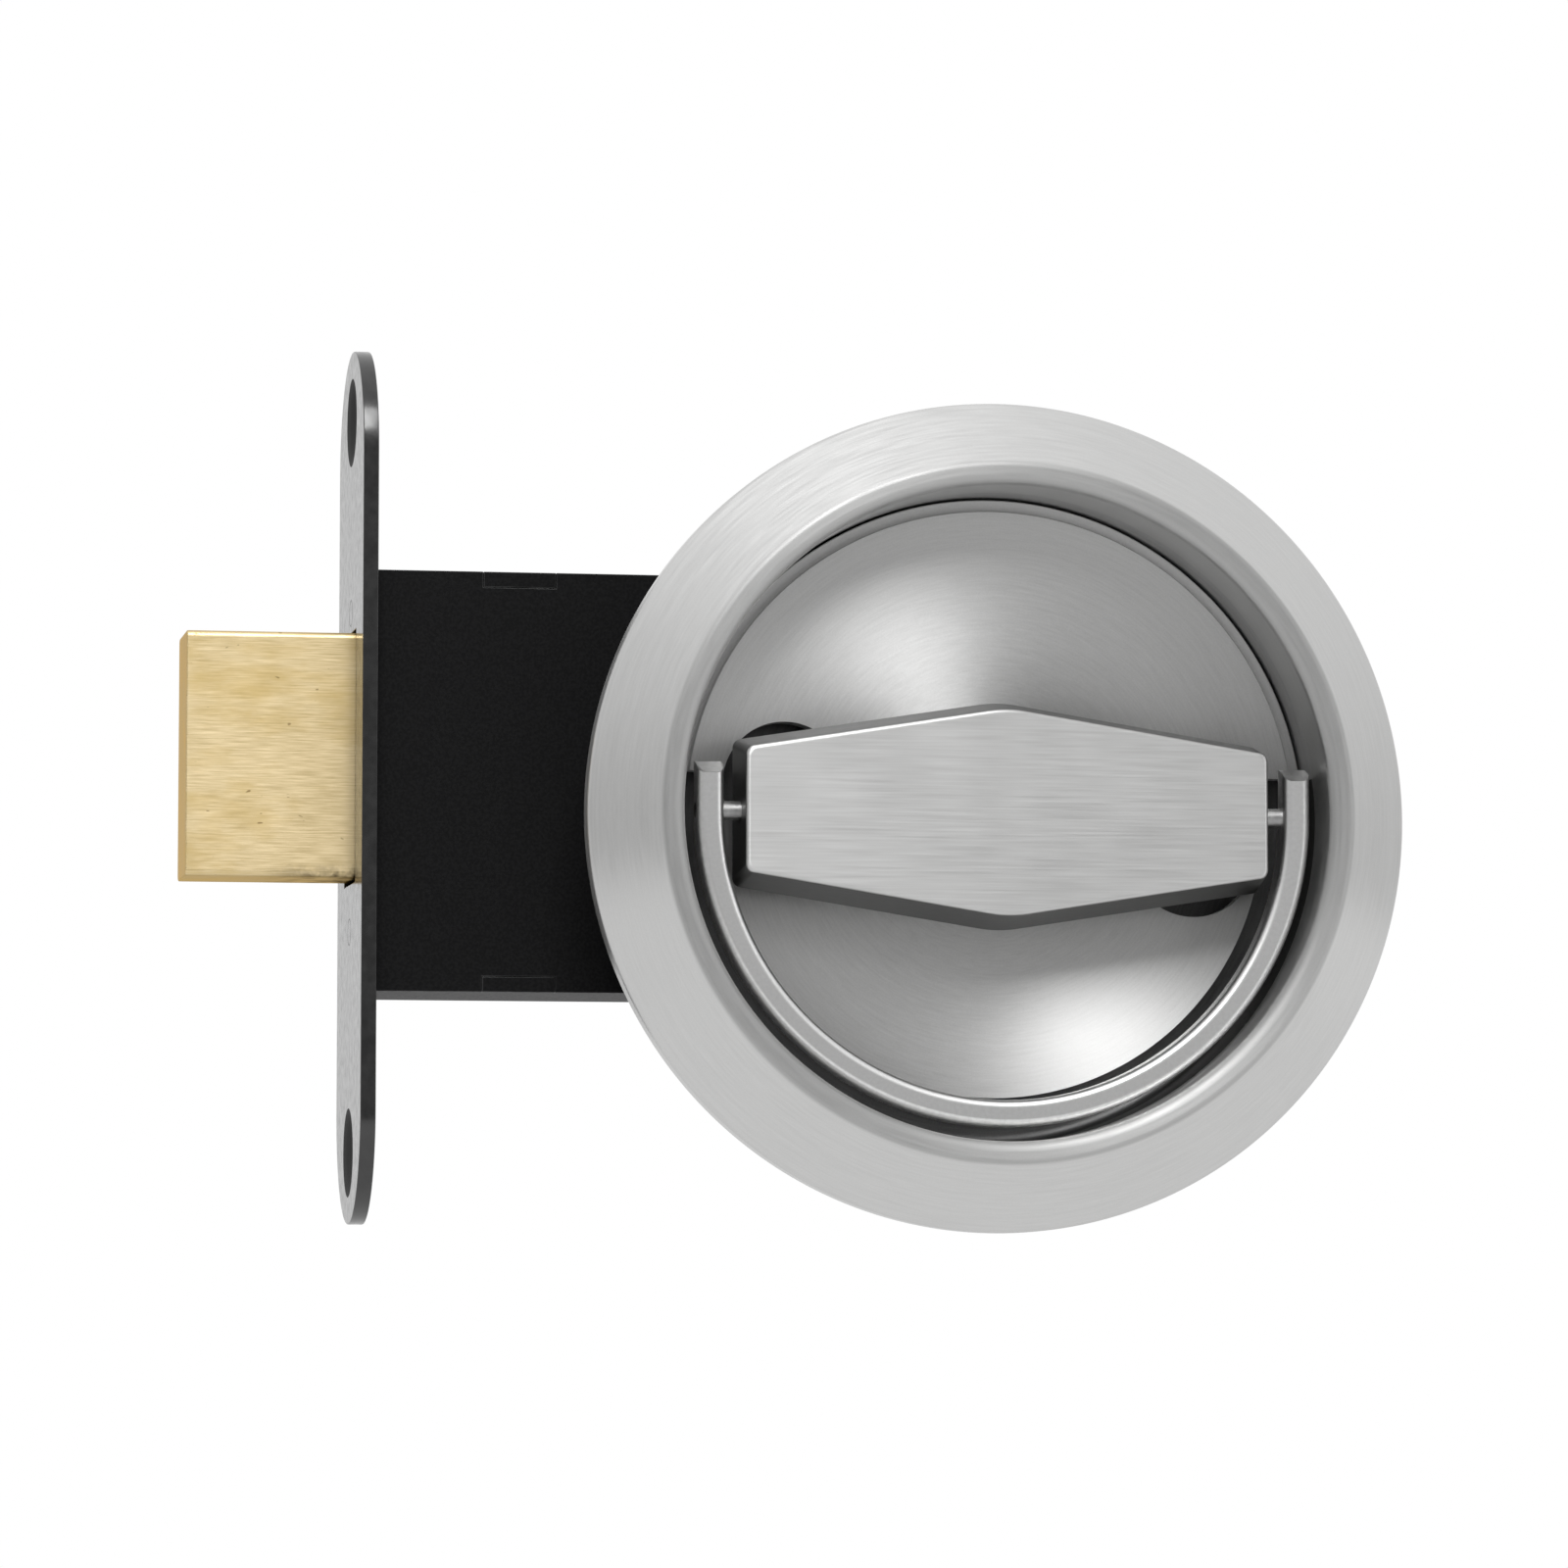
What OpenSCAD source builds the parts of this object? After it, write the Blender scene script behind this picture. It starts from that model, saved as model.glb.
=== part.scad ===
// Flush ring pull with a mortise deadbolt case, for a hinged service door.
// X runs along the door face, Z is up and Y goes into the door.
// The origin is where the spindle axis meets the door face; heights above that face are -Y.

/* [Rose ring] */
// Outer diameter of the raised ring
rose_d = 80; // [76:1:86]
// Height of the ring's straight outer edge
rim_h = 2.3; // [1.5:0.1:3.5]
// Height of the crest above the door face
crest_h = 8.4; // [7.5:0.1:10]
// Width of the conical flank, from the outer edge to the crest
flank_w = 6.6; // [6:0.1:7.5]
// Width of the lip, from the crest to the well
lip_w = 2; // [1.5:0.1:2.5]
// Fall of the lip's top towards the well
lip_drop = 0.1; // [0:0.1:0.9]
// Radius of the ring's outer edge
rim_r = 0.8; // [0.3:0.1:1.2]
// Radius of the crest
crest_edge = 0.4; // [0.2:0.1:0.6]
// Radius of the lip's inner edge
lip_r = 1.1; // [0.4:0.05:1.3]
// Wall of the hollow ring casting
ring_wall = 1.5; // [1.2:0.1:1.8]
// Number of small screws that hold the ring to the cup
ring_screw_n = 4; // [3:1:6]
// Thread diameter of the ring screws
ring_screw_d = 2.5; // [2:0.5:3]

/* [Cup and dish] */
// Wall and floor thickness of the cup
cup_wall = 1.5; // [1.2:0.1:2]
// Outer radius of the cup's bend
cup_bend = 2.5; // [2.1:0.1:4]
// Gap between the dish's upper edge and the wall of the well
dish_gap = 1.4; // [0.8:0.1:2]
// Hollow of the dish, from its edge to its middle
dish_hollow = 1.7; // [0.8:0.1:2.2]
// Thickness of the dish at its middle
dish_t = 1.5; // [1.2:0.1:2]
// Step down from the dish's rim to the ledge round its upper half
ledge_drop = 0.9; // [0.6:0.1:1.2]
// Thickness of the ledge
ledge_t = 0.8; // [0.6:0.1:1.2]
// Gap between the ledge and the wall of the well
ledge_gap = 0.25; // [0.2:0.05:0.6]
// Height on the dish where the groove for the bail begins
groove_top = 4.3; // [3:0.1:6]
// Gap between the dish and the folded bail
groove_gap = 0.35; // [0.3:0.05:1]
// Length of the posts between the cup and the dish
post_len = 1.5; // [1.2:0.1:3]
// Diameter of the posts
post_d = 5; // [4:0.5:6]
// Diameter of the rivet tails of the posts
post_tail_d = 3; // [2:0.5:3.5]

/* [Fixing screws] */
// Diameter of the holes in the dish that give way to the screws
access_d = 12.4; // [10:0.2:12.6]
// Distance from the middle of such a hole to the groove
access_inset = 6.6; // [6.4:0.1:8]
// Angle of the two holes off the bar's axis
fix_tilt = 8.5; // [0:0.5:12]
// Thread diameter of the fixing screws
fix_d = 5; // [4:0.5:5]
// Diameter of the screw heads
fix_head_d = 8.4; // [7:0.1:8.6]
// Height of the screw heads
fix_head_h = 2; // [1.5:0.1:2.5]
// Length of thread inside the case
fix_grip = 8; // [5:0.5:12]

/* [Turn bar] */
// Depth of the bar's face below the crest
bar_inset = 1.4; // [0.4:0.1:2]
// Thickness of the bar
bar_t = 5.6; // [5:0.1:6.5]
// Width of the bar at its ends
bar_end_w = 12; // [9:0.5:14]
// Width of the bar at its middle
bar_mid_w = 20.5; // [19.5:0.5:26]
// Radius of the bar's blunt middle corners
bar_mid_r = 12; // [4:1:20]
// Radius of the bar's end corners
bar_end_r = 0.9; // [0.5:0.1:2]
// Widening of each long side from the face to the back
bar_draft = 1; // [0.5:0.1:1.5]
// Widening of each end from the face to the back
bar_end_draft = 0.4; // [0.2:0.1:0.8]
// Broken edge round the bar's face
bar_edge = 0.35; // [0.2:0.05:0.6]
// Gap between the bar's end and the leg of the bail
bar_end_gap = 1.85; // [1.2:0.05:2.5]
// Diameter of the hub behind the bar
hub_d = 18; // [17:0.5:19]

/* [Bail] */
// Width of the bail's section, across the ring
bail_w = 2.6; // [2:0.1:3]
// Depth of the bail's section
bail_t = 3.2; // [2.6:0.1:3.8]
// Radius of the section's edges
bail_edge = 0.7; // [0.4:0.05:0.9]
// Gap between the bail and the wall of the well
bail_gap = 1.5; // [1.2:0.05:2]
// Drop of the bail's arc below the pivot axis
bail_drop = 0.1; // [0:0.05:0.6]
// Length of the bail's tails above the pivot axis
tail_len = 4.8; // [4:0.1:5.5]
// Bevel on the front of each tail's end
tail_bevel = 1.3; // [0.5:0.1:1.5]
// Clearance between a swinging tail and the dish
tail_clear = 0.44; // [0.3:0.02:1]
// Diameter of the pivot pins
pin_d = 3.2; // [2.5:0.1:3.6]
// Diameter of the pin's end in the leg
pin_end_d = 1.8; // [1.4:0.1:2.2]
// Length of a pin inside the bar
pin_grip = 6; // [4:0.5:8]

/* [Hub fittings] */
// Wall of the bush in the cup's floor
bush_wall = 1.5; // [1:0.1:2]
// Width of the bush's flange
bush_flange_w = 2; // [1:0.1:2.5]
// Thickness of the bush's flange
bush_flange_t = 1; // [0.8:0.1:1.2]
// Thickness of the washer behind the cup
washer_t = 0.8; // [0.5:0.1:1]
// Width of the washer
washer_w = 4; // [3:0.1:4.4]
// Thickness of the circlip
clip_t = 1; // [0.8:0.1:1.2]
// Depth of the circlip's groove
clip_groove = 0.8; // [0.5:0.1:1]
// Width of the circlip beyond the hub
clip_w = 2; // [1.5:0.1:3]
// Length of the hub behind the circlip
hub_end = 1.2; // [0.8:0.1:2]
// Gap between the hub's end and the case
case_gap = 4; // [1:0.5:20]

/* [Spindle and follower] */
// Width of the square spindle
spindle_w = 8; // [7:0.5:8]
// Depth of the spindle's socket in the hub
socket_len = 9.5; // [7:0.5:10]
// Diameter of the cross pin through hub and spindle
cross_d = 3; // [2:0.5:3]
// Turn of the handle, from thrown to withdrawn
turn_deg = 90; // [75:5:100]
// Diameter of the follower's hub
follower_d = 17; // [16:0.5:17]
// Diameter of the follower's flanges
flange_d = 21; // [20:0.5:22]
// Thickness of the follower's flanges
flange_t = 1.3; // [1:0.1:2]
// Thickness of the follower's arm
arm_t = 4; // [3.5:0.1:6]
// Diameter of the arm's round tip
arm_tip_d = 5; // [4.5:0.1:5.4]
// Width of the arm below its tip
arm_w = 4; // [3:0.1:4]

/* [Lock case] */
// Distance from the face plate to the spindle
backset = 60; // [57:1:75]
// Height of the case
case_h = 41.1; // [40:0.1:50]
// Thickness of the case
case_t = 16; // [15:0.5:22]
// Sheet thickness of the case and its cover
case_wall = 1.5; // [1:0.1:2]
// Height of the case's middle above the spindle
case_rise = 4.1; // [3.6:0.1:5]
// Space between the rear pillar and the end wall
case_end_gap = 0.7; // [0.4:0.1:8]
// Width of the body's tabs in the cover
tab_w = 7.1; // [4:0.1:9]
// Distance from the face plate to the middle of the front tabs
tab_front = 15.7; // [8:0.1:20]
// Diameter of the threaded pillars
pillar_d = 7; // [6.5:0.1:7.4]
// Diameter of the post that guides the bolt
guide_d = 5; // [4:0.1:5.2]

/* [Face plate] */
// Length of the face plate
plate_len = 86; // [80:1:120]
// Width of the face plate
plate_w = 22; // [20:0.5:25]
// Thickness of the face plate
plate_t = 1.5; // [1:0.1:3]
// Distance between the two screw holes
plate_pitch = 72; // [64:0.5:100]
// Diameter of the screw holes
plate_hole_d = 4.5; // [3.5:0.1:5]
// Diameter of their countersinks
plate_sink_d = 8.7; // [7:0.1:9]
// Straight wall of the holes behind their countersinks
plate_land = 0.5; // [0.3:0.05:0.8]
// Diameter of the rivets between face plate and case
plate_rivet_d = 2.6; // [2:0.1:3]

/* [Bolt] */
// Travel of the bolt, and its reach out of the face plate
bolt_throw = 16.5; // [14:0.5:18]
// Height of the bolt
bolt_h = 24; // [20:0.5:25]
// Thickness of the bolt
bolt_t = 9; // [7:0.5:11]
// Height of the bolt's middle above the spindle
bolt_rise = 6.8; // [6:0.1:7.5]
// Radius of the bolt's long edges
bolt_edge = 0.6; // [0.3:0.1:1]
// Thickness of the steel tail
strap_t = 3; // [2:0.1:3]
// Gap between the tail's lower edge and the follower's hub
strap_hub_gap = 0.7; // [0.5:0.05:0.9]
// Depth of the tail's tongue in the bolt
tongue_len = 10; // [6:0.5:11]
// Diameter of the rivets through bolt and tongue
strap_rivet_d = 4; // [3:0.5:4.5]

/* [Detent spring] */
// Thickness of the spring leaf
leaf_t = 0.5; // [0.3:0.05:0.6]
// Width of the spring leaf
leaf_w = 5; // [3:0.5:8]
// Height of the leaf above the tail
leaf_lift = 1.1; // [0.8:0.1:1.2]
// Depth of the nose in the tail's notch
nose_depth = 0.8; // [0.6:0.05:1]
// Diameter of the post in the spring's eye
leaf_post_d = 1.6; // [1:0.1:1.8]

/* [Fits] */
// Clearance of a turning shaft in its hole
run_clear = 0.05; // [0.02:0.01:0.1]
// Clearance of a screw in its hole
screw_clear = 0.2; // [0.1:0.05:0.4]
// Clearance of the sliding bolt in its slot
slide_clear = 0.4; // [0.3:0.05:0.8]
// Clearance round the hub in the dish, and of loose flanges
loose_clear = 0.6; // [0.4:0.05:1]
// Play of the follower's tip in the tail
talon_clear = 0.55; // [0.5:0.05:0.8]

/* [Hidden] */
$fn = 96;
// Overshoot of cuts
eps = 1;
// Steps in a rounded corner of an outline
arc_steps = 6;

// Ring, well and bail, from the outside in
rose_r = rose_d / 2;
crest_r = rose_r - flank_w;
well_r = crest_r - lip_w;
flange_h = cup_wall;
flange_r = rose_r - ring_wall - loose_clear / 2;
flank_slope = (crest_h - rim_h) / flank_w;
flank_drop = ring_wall * sqrt(1 + flank_slope * flank_slope);
boss_r = (well_r + rose_r) / 2;
boss_wall = 1.35;
boss_d = ring_screw_d + 2 * boss_wall;
sink_h = 1.2;
tip_gap = 0.2;
first_spot = 45;
bail_r = well_r - bail_gap - bail_w / 2;
leg_in = bail_r - bail_w / 2;
leg_out = bail_r + bail_w / 2;

// Heights of the bar, pivot and dish above the door face
bar_front = crest_h - bar_inset;
bar_back = bar_front - bar_t;
pivot_h = bar_front - bar_t / 2;
tail_reach = sqrt(tail_len * tail_len + bail_t * bail_t / 4);
dish_rim = pivot_h - tail_reach - tail_clear;
dish_mid = dish_rim - dish_hollow;
dish_back = dish_mid - dish_t;
dish_r = well_r - dish_gap;
ledge_r = well_r - ledge_gap;
dish_low_r = leg_in - groove_gap;
dish_curve = (dish_r * dish_r + dish_hollow * dish_hollow) / (2 * dish_hollow);
bar_half = leg_in - bar_end_gap;

// Cup and hub, going back into the door
cup_floor = dish_back - post_len;
cup_back = cup_floor - cup_wall;
hub_r = hub_d / 2;
bush_r = hub_r + run_clear + bush_wall;
clip_front = cup_back - washer_t;
clip_back = clip_front - clip_t;
hub_back = clip_back - hub_end;
post_n = 4;
post_inset = 7;
post_circle = hub_r + post_inset;
post_head_h = 0.7;
post_head_w = 0.9;
clip_open = 7;
// Depth of the cross pin, in the middle of the dish's thickness
cross_y = -(dish_mid + dish_back) / 2;

// Fixing screws
fix_r = dish_low_r - access_inset;
fix_spots = [for (a = [fix_tilt, fix_tilt + 180]) [-fix_r * cos(a), fix_r * sin(a)]];
fix_x = fix_r * cos(fix_tilt);
key_w = 4;
key_depth = 1.4;
drill_over = 0.5;

// Lock case, in depths behind the door face
case_front = -hub_back + case_gap;
cover_back = case_front + case_wall;
case_back = case_front + case_t;
tray_back = case_back - case_wall;
case_mid = (case_front + case_back) / 2;
plate_out = -backset;
plate_in = plate_out + plate_t;
wall_in = plate_in + case_wall;
case_end = fix_x + pillar_d / 2 + case_end_gap + case_wall;
case_low = case_rise - case_h / 2;
case_top = case_rise + case_h / 2;
tab_spots = [plate_out + tab_front, case_end - tab_front];
plate_head_h = 0.6;
plate_head_w = 0.25;

// Follower and spindle
arm_r = bolt_throw / (2 * sin(turn_deg / 2));
follower_r = follower_d / 2;
follower_inset = 0.3;
flange_gap = 0.2;
spindle_inset = 0.5;

// Bolt and tail
bolt_stop = 5.2;
tongue_stop = 1.7;
tongue_h = 13;
strap_rivet_pitch = 7.6;
talon_lip = 5;
guide_web = 4;
bolt_low = bolt_rise - bolt_h / 2;
bolt_top = bolt_rise + bolt_h / 2;
bolt_tip = plate_out - bolt_throw;
bolt_back = -(fix_x + pillar_d / 2 + bolt_throw + bolt_stop);
tongue_x = bolt_back - tongue_len;
tongue_end = -(fix_x + pillar_d / 2 + bolt_throw + tongue_stop);
tongue_low = bolt_rise - tongue_h / 2;
tongue_top = bolt_rise + tongue_h / 2;
strap_low = follower_r + strap_hub_gap;
eye_r = leaf_post_d / 2 + run_clear + leaf_t / 2;
strap_top = case_top - case_wall - screw_clear - leaf_t / 2 - 2 * eye_r - leaf_lift;
strap_mid = (strap_low + strap_top) / 2;
talon_x = -bolt_throw / 2;
talon_w = arm_tip_d + 2 * talon_clear;
talon_top = arm_r + arm_tip_d / 2 + talon_clear;
strap_end = talon_x + talon_w / 2 + talon_lip;
guide_x = talon_x - talon_w / 2 - guide_web - guide_d / 2 - screw_clear;
// Rivets through bolt and tail as seen from the front, and those of the face plate as depth and height
strap_rivet_spots = [
    for (s = [-1, 1]) [(tongue_x + bolt_back) / 2, bolt_rise + s * strap_rivet_pitch / 2]
];
plate_rivet_spots = [
    [case_mid, (bolt_top + slide_clear + case_top - case_wall) / 2],
    [case_mid, (bolt_low - slide_clear + case_low + case_wall) / 2]
];

// Detent spring, from its nose to its eye
nose_inset = 2.2;
eye_inset = 3.3;
leaf_tail = 6;
nose_x = talon_x + talon_w / 2 + nose_inset;
leaf_low = strap_top + leaf_lift;
nose_low = strap_top - nose_depth + leaf_t / 2;
nose_run = 2.4;
notch_drop = 0.7;
notch_rise = (leaf_low - nose_low) / nose_run;
eye_x = strap_end + bolt_throw - eye_inset;
eye_z = leaf_low + eye_r;
leaf_end = eye_x + leaf_tail;

// Turned shape about the spindle axis, drawn as radius and height above the door face
module turned() {
    rotate([90, 0, 0]) rotate_extrude() children();
}

// Plate drawn on the door face, between two depths
module deep(y0, y1) {
    translate([0, y1, 0]) rotate([90, 0, 0]) linear_extrude(y1 - y0) children();
}

// Plate drawn on the face plate, between two places along X
module across(x0, x1) {
    translate([x0, 0, 0]) rotate([90, 0, 90]) linear_extrude(x1 - x0) children();
}

// Round bar that goes into the door at a spot on its face
module stem(spot, y0, y1, r) {
    translate([spot[0], y0, spot[1]]) rotate([-90, 0, 0]) cylinder(h = y1 - y0, r = r);
}

// Round bar along X at a depth and height
module rod(x0, x1, y, z, r) {
    translate([x0, y, z]) rotate([0, 90, 0]) cylinder(h = x1 - x0, r = r);
}

// Rectangle with rounded corners, centred
module soft_rect(w, h, r) {
    square([w - 2 * r, h], center = true);
    square([w, h - 2 * r], center = true);
    for (sx = [-1, 1], sy = [-1, 1]) {
        translate([sx * (w / 2 - r), sy * (h / 2 - r)]) circle(r);
    }
}

// Spots spread evenly on a circle, from a first angle
function ring_spots(n, r, first) = [
    for (i = [0:n - 1]) [r * cos(first + i * 360 / n), r * sin(first + i * 360 / n)]
];

// Points of an outline whose corners are rounded, each by its own radius
function unit(v) = v / norm(v);
function corner(p, before, after, r) =
    r == 0 ? [p] :
    let (
        u = unit(before - p),
        w = unit(after - p),
        half = acos(u * w) / 2,
        c = p + unit(u + w) * r / sin(half),
        from = p + u * r / tan(half) - c,
        to = p + w * r / tan(half) - c,
        a = atan2(from[1], from[0]),
        sweep = (atan2(to[1], to[0]) - a + 540) % 360 - 180
    )
    [for (i = [0:arc_steps]) c + r * [cos(a + sweep * i / arc_steps), sin(a + sweep * i / arc_steps)]];
function rounded(points, radii) =
    let (n = len(points))
    [for (i = [0:n - 1]) each corner(points[i], points[(i + n - 1) % n], points[(i + 1) % n], radii[i])];

// Height of the ring's hollow below its flank
function hollow_h(r) = rim_h + (rose_r - r) * flank_slope - flank_drop;

module ring_profile() {
    polygon(rounded(
        [[well_r, 0], [rose_r, 0], [rose_r, rim_h], [crest_r, crest_h], [well_r, crest_h - lip_drop]],
        [0, 0, rim_r, crest_edge, lip_r]
    ));
}

module hollow_profile() {
    inner = well_r + ring_wall;
    outer = rose_r - ring_wall;
    polygon([[outer, -eps], [outer, hollow_h(outer)], [inner, hollow_h(inner)], [inner, -eps]]);
    translate([well_r - eps, -eps]) square([outer - well_r + eps, eps + flange_h]);
}

// Hollow cast ring with screw bosses under its flank
module rose_ring() color("gainsboro") {
    difference() {
        union() {
            difference() {
                turned() ring_profile();
                turned() hollow_profile();
            }
            intersection() {
                turned() ring_profile();
                for (s = ring_spots(ring_screw_n, boss_r, first_spot)) {
                    stem(s, -hollow_h(boss_r) - ring_wall / 2, -flange_h, boss_d / 2);
                }
            }
        }
        for (s = ring_spots(ring_screw_n, boss_r, first_spot)) {
            stem(s, -hollow_h(boss_r), 0, ring_screw_d / 2);
        }
    }
}

// Countersunk screws from the back of the cup's flange into the ring
module ring_screws() color("silver") {
    for (s = ring_spots(ring_screw_n, boss_r, first_spot)) {
        stem(s, tip_gap - hollow_h(boss_r), 0, ring_screw_d / 2);
        translate([s[0], -sink_h, s[1]]) rotate([-90, 0, 0]) {
            cylinder(h = sink_h, r1 = ring_screw_d / 2, r2 = ring_screw_d / 2 + sink_h);
        }
    }
}

// Pressed cup that drops into the door, with a flange inside the ring
module rose_cup() color("dimgray") {
    difference() {
        turned() polygon(rounded(
            [
                [bush_r, cup_back], [well_r + cup_wall, cup_back], [well_r + cup_wall, 0], [flange_r, 0],
                [flange_r, flange_h], [well_r, flange_h], [well_r, cup_floor], [bush_r, cup_floor]
            ],
            [0, cup_bend, 0, 0, 0, 0, cup_bend - cup_wall, 0]
        ));
        for (s = fix_spots) {
            stem(s, -cup_floor - eps, -cup_back + eps, fix_d / 2 + screw_clear);
        }
        for (s = ring_spots(post_n, post_circle, first_spot)) {
            stem(s, -cup_floor - eps, -cup_back + eps, post_tail_d / 2);
        }
        for (s = ring_spots(ring_screw_n, boss_r, first_spot)) {
            stem(s, -flange_h - eps, eps, ring_screw_d / 2);
            translate([s[0], -sink_h, s[1]]) rotate([-90, 0, 0]) {
                cylinder(h = sink_h + eps, r1 = ring_screw_d / 2, r2 = ring_screw_d / 2 + sink_h + eps);
            }
        }
    }
}

// Flanged bush in which the hub turns
module hub_bush() color("burlywood") {
    turned() {
        translate([hub_r + run_clear, cup_back]) square([bush_wall, cup_wall + bush_flange_t]);
        translate([hub_r + run_clear, cup_floor]) square([bush_wall + bush_flange_w, bush_flange_t]);
    }
}

// Hollow disc behind the bar, cut back below its middle to make the bail's groove
module dish() color("silver") {
    difference() {
        turned() difference() {
            polygon([
                [hub_r + loose_clear, dish_back], [post_circle + post_d, dish_back],
                [ledge_r, dish_rim - ledge_drop - ledge_t], [ledge_r, dish_rim - ledge_drop],
                [dish_r, dish_rim - ledge_drop], [dish_r, dish_rim], [hub_r + loose_clear, dish_rim]
            ]);
            translate([0, dish_mid + dish_curve]) circle(dish_curve, $fn = 720);
        }
        deep(-dish_rim - eps, -dish_back + eps) difference() {
            translate([-rose_r, groove_top - rose_d]) square(rose_d);
            circle(dish_low_r);
        }
        for (s = fix_spots) {
            stem(s, -dish_rim - eps, -dish_back + eps, access_d / 2);
        }
    }
}

// Posts welded behind the dish and riveted through the cup's floor
module dish_posts() color("darkgray") {
    for (s = ring_spots(post_n, post_circle, first_spot)) {
        stem(s, -dish_back, -cup_floor, post_d / 2);
        stem(s, -cup_floor, -cup_back, post_tail_d / 2);
        stem(s, -cup_back, -cup_back + post_head_h, post_tail_d / 2 + post_head_w);
    }
}

// Socket screws from the cup into the case
module fixing_screws() color("dimgray") {
    for (s = fix_spots) {
        difference() {
            union() {
                stem(s, -cup_floor - fix_head_h, -cup_floor, fix_head_d / 2);
                stem(s, -cup_floor, cover_back + fix_grip, fix_d / 2);
            }
            translate([s[0], -cup_floor - fix_head_h - eps, s[1]]) rotate([-90, 0, 0]) {
                cylinder(h = eps + key_depth, r = key_w / sqrt(3), $fn = 6);
            }
        }
    }
}

// Outline of the case seen from the front
module case_outline() {
    translate([plate_in, case_low]) square([case_end - plate_in, case_h]);
}

// Tabs of the case body in the cover, seen from the front
module tab_outline(slack) {
    for (x = tab_spots, z = [case_low, case_top - case_wall]) {
        translate([x - tab_w / 2 - slack, z - slack]) square([tab_w + 2 * slack, case_wall + 2 * slack]);
    }
}

// Slot for the bolt, seen along X
module bolt_slot() {
    translate([case_mid, bolt_rise]) {
        square([bolt_t + 2 * slide_clear, bolt_h + 2 * slide_clear], center = true);
    }
}

// Pressed steel tray with a slotted end wall and tabs for the cover
module case_body() color("dimgray") {
    difference() {
        union() {
            deep(cover_back, case_back) case_outline();
            deep(case_front, cover_back) tab_outline(0);
        }
        deep(cover_back - eps, tray_back) translate([wall_in, case_low + case_wall]) {
            square([case_end - case_wall - wall_in, case_h - 2 * case_wall]);
        }
        across(plate_in - eps, wall_in + eps) bolt_slot();
        for (s = plate_rivet_spots) {
            rod(plate_in - eps, wall_in + eps, s[0], s[1], plate_rivet_d / 2);
        }
        stem([0, 0], tray_back - eps, case_back + eps, follower_r + run_clear);
    }
}

// Flat cover on the side of the rose
module case_cover() color("dimgray") {
    difference() {
        deep(case_front, cover_back) difference() {
            case_outline();
            tab_outline(run_clear);
        }
        stem([0, 0], case_front - eps, cover_back + eps, follower_r + run_clear);
        for (s = fix_spots) {
            stem(s, case_front - eps, cover_back + eps, fix_d / 2 + screw_clear);
        }
    }
}

// Threaded pillars between cover and tray, which take the fixing screws
module case_pillars() color("silver") {
    for (s = fix_spots) {
        difference() {
            stem(s, cover_back, tray_back, pillar_d / 2);
            stem(s, cover_back - eps, cover_back + fix_grip + drill_over, fix_d / 2);
        }
    }
}

// Post in the slot of the bolt's tail
module guide_post() color("silver") {
    stem([guide_x, strap_mid], cover_back, tray_back, guide_d / 2);
}

// Round-ended face plate with countersunk screw holes
module face_plate() color("darkslategray") {
    difference() {
        across(plate_out, plate_in) translate([case_mid, case_rise]) {
            square([plate_w, plate_len - plate_w], center = true);
            for (s = [-1, 1]) {
                translate([0, s * (plate_len - plate_w) / 2]) circle(plate_w / 2);
            }
        }
        across(plate_out - eps, plate_in + eps) bolt_slot();
        for (s = [-1, 1]) {
            z = case_rise + s * plate_pitch / 2;
            rod(plate_out - eps, plate_in + eps, case_mid, z, plate_hole_d / 2);
            translate([plate_out, case_mid, z]) rotate([0, 90, 0]) {
                cylinder(h = plate_t - plate_land, r1 = plate_sink_d / 2, r2 = plate_hole_d / 2);
            }
        }
        for (s = plate_rivet_spots) {
            rod(plate_out - eps, plate_in + eps, s[0], s[1], plate_rivet_d / 2);
        }
    }
}

// Rivets flush in the face plate, headed inside the case
module plate_rivets() color("dimgray") {
    for (s = plate_rivet_spots) {
        rod(plate_out, wall_in, s[0], s[1], plate_rivet_d / 2);
        rod(wall_in, wall_in + plate_head_h, s[0], s[1], plate_rivet_d / 2 + plate_head_w);
    }
}

// Strip of leaf along a line of points, seen from the front
module strip(points) {
    for (i = [0:len(points) - 2]) {
        step = points[i + 1] - points[i];
        translate(points[i]) rotate(atan2(step[1], step[0])) translate([0, -leaf_t / 2]) {
            square([norm(step), leaf_t]);
        }
    }
    for (p = points) {
        translate(p) circle(leaf_t / 2);
    }
}

// Leaf with an eye on its post and a nose that drops into the tail's notches
module detent_spring() color("lightsteelblue") {
    top = case_top - case_wall - leaf_t / 2 - run_clear;
    deep(case_mid - leaf_w / 2, case_mid + leaf_w / 2) difference() {
        union() {
            strip([
                [nose_x - nose_run, leaf_low], [nose_x, nose_low], [nose_x + nose_run, leaf_low],
                [eye_x, leaf_low]
            ]);
            strip([[eye_x, eye_z + eye_r], [leaf_end, top]]);
            translate([eye_x, eye_z]) circle(eye_r + leaf_t / 2);
        }
        translate([eye_x, eye_z]) circle(eye_r - leaf_t / 2);
    }
}

// Post that holds the spring's eye
module spring_post() color("silver") {
    stem([eye_x, eye_z], cover_back, tray_back, leaf_post_d / 2);
}

// Outline of the bar, grown by a side and an end allowance
module bar_outline(side, end) {
    l = bar_half + end;
    e = bar_end_w / 2 + side;
    m = bar_mid_w / 2 + side;
    polygon(rounded(
        [[l, -e], [l, e], [0, m], [-l, e], [-l, -e], [0, -m]],
        [bar_end_r, bar_end_r, bar_mid_r, bar_end_r, bar_end_r, bar_mid_r]
    ));
}

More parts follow.
